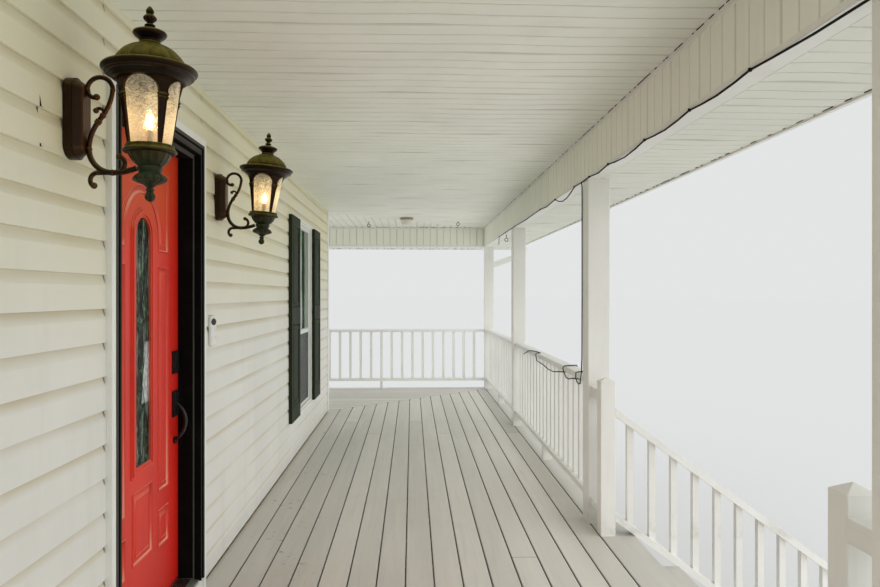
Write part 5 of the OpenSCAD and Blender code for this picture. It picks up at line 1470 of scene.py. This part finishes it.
def lantern_rib(bearing):
    """One rib between two windows: at each height an arc of the tapered cage, as wide as the windows
    leave it, with a bead along each edge, a shallow flute between them and a stepped capital."""
    arch = -0.27 + 0.038 * np.sin(np.linspace(0, np.pi / 2, 14))
    capital = np.array([-301, -299, -297, -294.5, -293, -289.5, -288, -286, -284.5, -281.5, -280, -277,
                        -274]) / 1000
    z = np.unique(np.concatenate([np.linspace(-0.43, -0.303, 9), capital, arch, [-0.231, -0.22, -0.2]]))
    steps = np.array([0, 1.2, 1.6, 1.6, 3.4, 3.6, 1.5, 1.5, 3.8, 4.2, 2.6, 1.6, 0]) / 1000
    swell = np.interp(z, capital, steps)
    radius = 0.066 + 0.032 * (z + 0.428) / 0.232
    half = math.pi / 4 - np.arcsin(np.clip(window_half(z) / radius, 0, 1)) + 0.5 * swell / radius
    edge = np.array([0, 0.0008, 0.0018, 0.0028, 0.0036, 0.005])
    width = (half * radius)[:, None]
    reach = np.minimum(edge, width * np.linspace(0, 0.6, 6))
    inward = np.concatenate([reach, reach[:, -1:] + width * 0.4 * np.array([0.3, 0.65, 1.0])], 1)
    inward = np.minimum(inward, width)
    inward[:, -1:] = width
    lift = np.array([0.0, 1.3, 1.9, 1.3, 0.0, -0.9, -1.3, -1.4, -1.4]) / 1000 * (z < -0.232)[:, None]
    angle = half[:, None] - inward / radius[:, None]
    outer = radius[:, None] + swell[:, None] + lift
    angle = np.concatenate([-angle, angle[:, -2::-1]], 1)
    outer = np.concatenate([outer, outer[:, -2::-1]], 1)
    inner = np.broadcast_to(radius[:, None] - 0.0045, outer.shape)
    angle = np.concatenate([angle, angle[:, ::-1]], 1) + bearing
    r = np.concatenate([outer, inner], 1)
    return np.stack([r * np.cos(angle), r * np.sin(angle), np.broadcast_to(z[:, None], r.shape)], -1)


class PORCH_OT_lanterns(bpy.types.Operator):
    """Lantern bodies with lobed domes, ribs, fluted bowls and finials, their glass and their lamps"""

    bl_idname = "porch.lanterns"
    bl_label = "Wall lanterns"

    def execute(self, context):
        low, high = corners("lantern_cages")
        x, reach = Plan.siding_x + 0.239, 0.139
        pane = ((61, -424), (79, -300), (89, -222), (86.5, -222), (76.5, -300), (58.5, -424))
        flame = ((0.3, -318), (3, -322), (8, -332), (12.5, -345), (13.5, -356), (11, -368), (7, -378),
                 (0.3, -378))
        sleeve = ((0.3, -376), (9, -376), (9.5, -379), (9.5, -424), (0.3, -424))
        bodies, glasses, lamps, sleeves = Surface(), Surface(), Surface(), Surface()
        near, far = (x, low[1] + reach, high[2]), (x, high[1] - reach, high[2] - 0.015)
        for crown, lean in ((near, 0.0), (far, 4.0)):
            pivot = np.array(crown) - (0, 0, 0.5)

            def stand(surface, rings, loop=False):
                surface.add(*loft(leaned(rings + np.array(crown), lean, pivot), loop=loop))

            for lobes, depth, sides, hollow, loop, profile in LANTERN_MEMBERS:
                stand(bodies, lobed(softened(profile), lobes, depth, sides, hollow), loop)
            for k in range(4):
                stand(bodies, lantern_rib(math.pi / 4 + k * math.pi / 2))
            stand(glasses, lobed(softened(pane, 3), 1, 0.0, 128), loop=True)
            stand(lamps, lobed(softened(flame), 1, 0.0, 32))
            stand(sleeves, lobed(softened(sleeve), 1, 0.0, 32))
        bodies.piece("lantern_bodies", "lantern_bronze/z", smooth=42, replaces=["lantern_cages"])
        glasses.piece("lantern_panes", "seeded_glass", smooth=60, replaces=["lantern_glasses"])
        lamps.piece("lantern_lamps", "lit_glass", smooth=60, replaces=["lantern_bulbs"])
        sleeves.piece("lantern_sleeves", "white_plastic/z", smooth=60)
        return {"FINISHED"}


# Window


class PORCH_OT_window(bpy.types.Operator):
    """Raised panels and mouldings on the shutters, and the window's slim bars, panes and screen"""

    bl_idname = "porch.window"
    bl_label = "Window and shutters"

    def execute(self, context):
        low, high = corners("window_frame")
        shut_low, shut_high = corners("shutters")
        stile, lap = 0.048, 0.017
        fields = ((low[2] + 0.116, low[2] + 0.836), (low[2] + 0.966, high[2] - 0.077))
        ogee = np.array([(0.0, -0.0095), (0.0, 0.001), (-0.004, 0.0018), (-0.008, 0.0), (-0.013, -0.005),
                         (-0.017, -0.0095)])
        panel = np.array([(0.0, -0.0098), (0.0, -0.0075), (-0.034, -0.0005), (-0.037, 0.0005),
                          (-0.037, -0.0098)])
        trims = Surface()
        for y0, y1 in ((shut_low[1], low[1]), (high[1], shut_high[1])):
            for z0, z1 in fields:
                y2, y3 = y0 + stile, y1 - stile
                trims.add(*moulding(rectangle(y2, y3, z0, z1), ogee, shut_high[0]))
                trims.add(*moulding(rectangle(y2 + lap, y3 - lap, z0 + lap, z1 - lap), panel, shut_high[0]))
        trims.piece("shutter_mouldings", "dark_shutter", smooth=30)

        wall, slim, stile, thick = Plan.wall_x, 0.022, 0.027, 0.034
        y0, y1, foot, top = low[1] + slim, high[1] - slim, low[2] + slim, high[2] - slim
        meet = corners("window_screen")[1][2] + 0.042
        split = meet - 0.036
        back, front = low[0] - wall, high[0] - wall
        section = np.array([(0, back), (0, front), (-slim + 0.002, front), (-slim, front - 0.002),
                            (-slim, back)])
        Surface().add(*moulding(rectangle(low[1], high[1], low[2], high[2]), section, wall)).piece(
            "window_bars", "white_vinyl", replaces=["window_frame"])
        section = np.array([(0, -thick), (0, 0), (-stile + 0.007, 0), (-stile, -0.009),
                            (-stile, -thick + 0.009), (-stile + 0.007, -thick)])
        sash_bars, panes = Surface(), Surface()
        inset = stile - 0.004
        for x, z0, z1 in ((wall - 0.008, split, top), (wall - 0.043, foot, meet)):
            sash_bars.add(*moulding(rectangle(y0, y1, z0, z1), section, x))
            middle = x - thick / 2
            panes.add(*eased_boxes((middle - 0.0015, y0 + inset, z0 + inset),
                                   (middle + 0.0015, y1 - inset, z1 - inset), 0.0003))
        sash_bars.piece("sash_bars", "white_vinyl", replaces=["window_sashes"])
        panes.piece("window_panes", "clear_glass", replaces=["window_glass"])

        x, inset = wall - 0.02, 0.016
        section = np.array([(0, -0.0045), (0, 0.0045), (-0.018, 0.0045), (-0.018, -0.0045)])
        Surface().add(*moulding(rectangle(y0, y1, foot, split), section, x)).piece(
            "screen_frame", "white_vinyl", replaces=["window_screen"])
        cloth = eased_boxes((x - 0.0004, y0 + inset, foot + inset), (x + 0.0004, y1 - inset, split - inset),
                            0.0001)
        Surface().add(*cloth).piece("screen_cloth", "screen_mesh")
        return {"FINISHED"}


# Frame nodes that stay


class PORCH_OT_dress(bpy.types.Operator):
    """Gives every frame node that stays the finish of its slot"""

    bl_idname = "porch.dress"
    bl_label = "Finishes on the frame"

    def execute(self, context):
        grain = {"front_siding": "y", "side_siding": "x", "deck_joists": "x", "deck_girders": "y",
                 "deck_piers": "z", "stair_stringers": "x", "stair_treads": "y", "stair_risers": "y",
                 "deck_skirt": "y", "stub_rails": "y", "stair_rails": "x", "fascia_board": "y",
                 "gable_ends": "y", "lantern_brackets": "x"}
        wooden = ("white_paint", "timber", "deck_paint", "cream_siding", "cream_panel", "shingles",
                  "lantern_bronze")
        for part in frame["record"]["subparts"]:
            node, slot = part["node"], part["material_slot"]
            looks = frame["nodes"][node].data.materials
            made = finish_of(f"{slot}/{grain.get(node, 'z')}" if slot in wooden else slot)
            for k in range(len(looks)):
                looks[k] = made
            if not looks:
                looks.append(made)
        return {"FINISHED"}


# Stage


def stage_floor(name, seen, lighting):
    """A matt floor of two even tones: the one that is seen, and the one that throws light back."""
    f = Finish(name, seen, 0.9)
    throw = f.node("ShaderNodeBsdfDiffuse", (), {"Color": (*lighting, 1)})
    f.choose(f.node("ShaderNodeLightPath", out="Is Diffuse Ray"), throw)
    return f.material


def plain_world(light, strength, seen):
    """A world of two even tones: the one that lights, and the one behind the object, which the camera
    sees directly, mirrored and through glass."""
    world = bpy.data.worlds.new("studio")
    world.use_nodes = True
    f = Nodes(world.node_tree)
    f.tree.nodes.remove(f.tree.nodes["Background"])
    camera = f.node("ShaderNodeLightPath", out="Is Camera Ray")
    looks = camera.most(camera.sibling("Is Glossy Ray")).most(camera.sibling("Is Transmission Ray"))
    sky = f.node("ShaderNodeBackground", (), {"Color": (*light, 1), "Strength": strength})
    behind = f.node("ShaderNodeBackground", (), {"Color": (*seen, 1)})
    both = f.node("ShaderNodeMixShader", (), {0: looks, 1: sky, 2: behind})
    f.join(both, f.tree.nodes["World Output"].inputs[0])
    return world


def soft_sun(name, energy, spread, towards, height, colour):
    """A distant lamp of a given angular spread: it stands over a bearing from +X towards +Y, at a
    height above the horizon, all in degrees."""
    data = bpy.data.lights.new(name, "SUN")
    data.energy, data.angle, data.color = energy, math.radians(spread), colour
    lamp = bpy.data.objects.new(name, data)
    lamp.rotation_euler = (0, math.radians(90 - height), math.radians(towards))
    bpy.context.scene.collection.objects.link(lamp)


def soft_panel(name, watts, length, width, place, turn):
    """An even rectangular lamp, unseen itself, with its length along Y."""
    data = bpy.data.lights.new(name, "AREA")
    data.shape, data.size, data.size_y, data.energy = "RECTANGLE", width, length, watts
    data.color = (1.0, 0.99, 0.96)
    lamp = bpy.data.objects.new(name, data)
    lamp.location, lamp.rotation_euler = place, turn
    lamp.visible_camera = False
    bpy.context.scene.collection.objects.link(lamp)


class PORCH_OT_stage(bpy.types.Operator):
    """Pale floor, soft lamps, plain world and the camera at the photograph's viewpoint"""

    bl_idname = "porch.stage"
    bl_label = "Studio stage"

    def execute(self, context):
        scene = context.scene
        mesh = bpy.data.meshes.new("floor")
        far = 600
        mesh.from_pydata([(-far, -far, 0), (far, -far, 0), (far, far, 0), (-far, far, 0)], [], [(0, 1, 2, 3)])
        mesh.materials.append(stage_floor("pale_floor", (0.682, 0.685, 0.687), (0.88, 0.88, 0.84)))
        floor = bpy.data.objects.new("floor", mesh)
        scene.collection.objects.link(floor)

        scene.world = plain_world((0.97, 0.99, 1.0), 0.9, (0.77, 0.785, 0.785))
        soft_sun("key", 0.75, 60, -38, 42, (1.0, 0.98, 0.95))
        soft_sun("near_fill", 0.85, 80, -84, 12, (1.0, 0.99, 0.96))
        inside, length = Plan.post_high[0] - 0.25, Plan.post_high[1] - Plan.post_low[1] - 0.4
        middle = (Plan.post_high[1] + Plan.post_low[1]) / 2
        soft_panel("side_panel", 19, length, 2.0, (inside, middle, Plan.deck_z + 1.1),
                   (0, math.radians(90), 0))
        soft_panel("deck_panel", 13.5, length, inside - 0.2, (inside / 2 + 0.1, middle, Plan.deck_z + 0.05),
                   (0, math.radians(180), 0))

        picture, focal, off_centre = 880.0, 715.0, 1.1  # in pixels of the photograph
        eye, aside = (1.15, -3.02, 2.54), 2.22  # in metres, and degrees from +Y towards +X
        data = bpy.data.cameras.new("view")
        data.sensor_width, data.lens = 36.0, 36.0 * focal / picture
        data.shift_y = off_centre / picture
        data.clip_start = 0.05
        camera = bpy.data.objects.new("view", data)
        camera.location = eye
        camera.rotation_euler = (math.radians(90), 0, -math.radians(aside))
        scene.collection.objects.link(camera)
        scene.camera = camera
        scene.view_settings.view_transform = "Standard"
        return {"FINISHED"}


# Panel and registration


OPERATORS = (PORCH_OT_stage, PORCH_OT_dress, PORCH_OT_deck, PORCH_OT_railings, PORCH_OT_posts,
             PORCH_OT_ceiling, PORCH_OT_roof, PORCH_OT_door, PORCH_OT_seam, PORCH_OT_lanterns,
             PORCH_OT_window)


class PORCH_PT_panel(bpy.types.Panel):
    """Buttons for the porch's pieces and their settings"""

    bl_idname = "PORCH_PT_panel"
    bl_label = "Front porch"
    bl_space_type = "VIEW_3D"
    bl_region_type = "UI"
    bl_category = "Porch"

    def draw(self, context):
        for operator in OPERATORS:
            self.layout.operator(operator.bl_idname)
        for group in (context.scene.porch_sizes, context.scene.porch_colours):
            for name in group.__annotations__:
                self.layout.prop(group, name)


CLASSES = (PorchSizes, PorchColours, *OPERATORS, PORCH_PT_panel)


def register():
    """Adds the settings, the operators and the panel."""
    for cls in CLASSES:
        bpy.utils.register_class(cls)
    bpy.types.Scene.porch_sizes = bpy.props.PointerProperty(type=PorchSizes)
    bpy.types.Scene.porch_colours = bpy.props.PointerProperty(type=PorchColours)


def unregister():
    """Takes out what register() added."""
    del bpy.types.Scene.porch_colours
    del bpy.types.Scene.porch_sizes
    for cls in reversed(CLASSES):
        bpy.utils.unregister_class(cls)


def main():
    """Builds the stage and every piece."""
    register()
    bpy.ops.porch.stage()
    bpy.ops.porch.dress()
    bpy.ops.porch.deck()
    bpy.ops.porch.railings()
    bpy.ops.porch.posts()
    bpy.ops.porch.ceiling()
    bpy.ops.porch.roof()
    bpy.ops.porch.door()
    bpy.ops.porch.seam()
    bpy.ops.porch.lanterns()
    bpy.ops.porch.window()


if __name__ == "__main__":
    main()
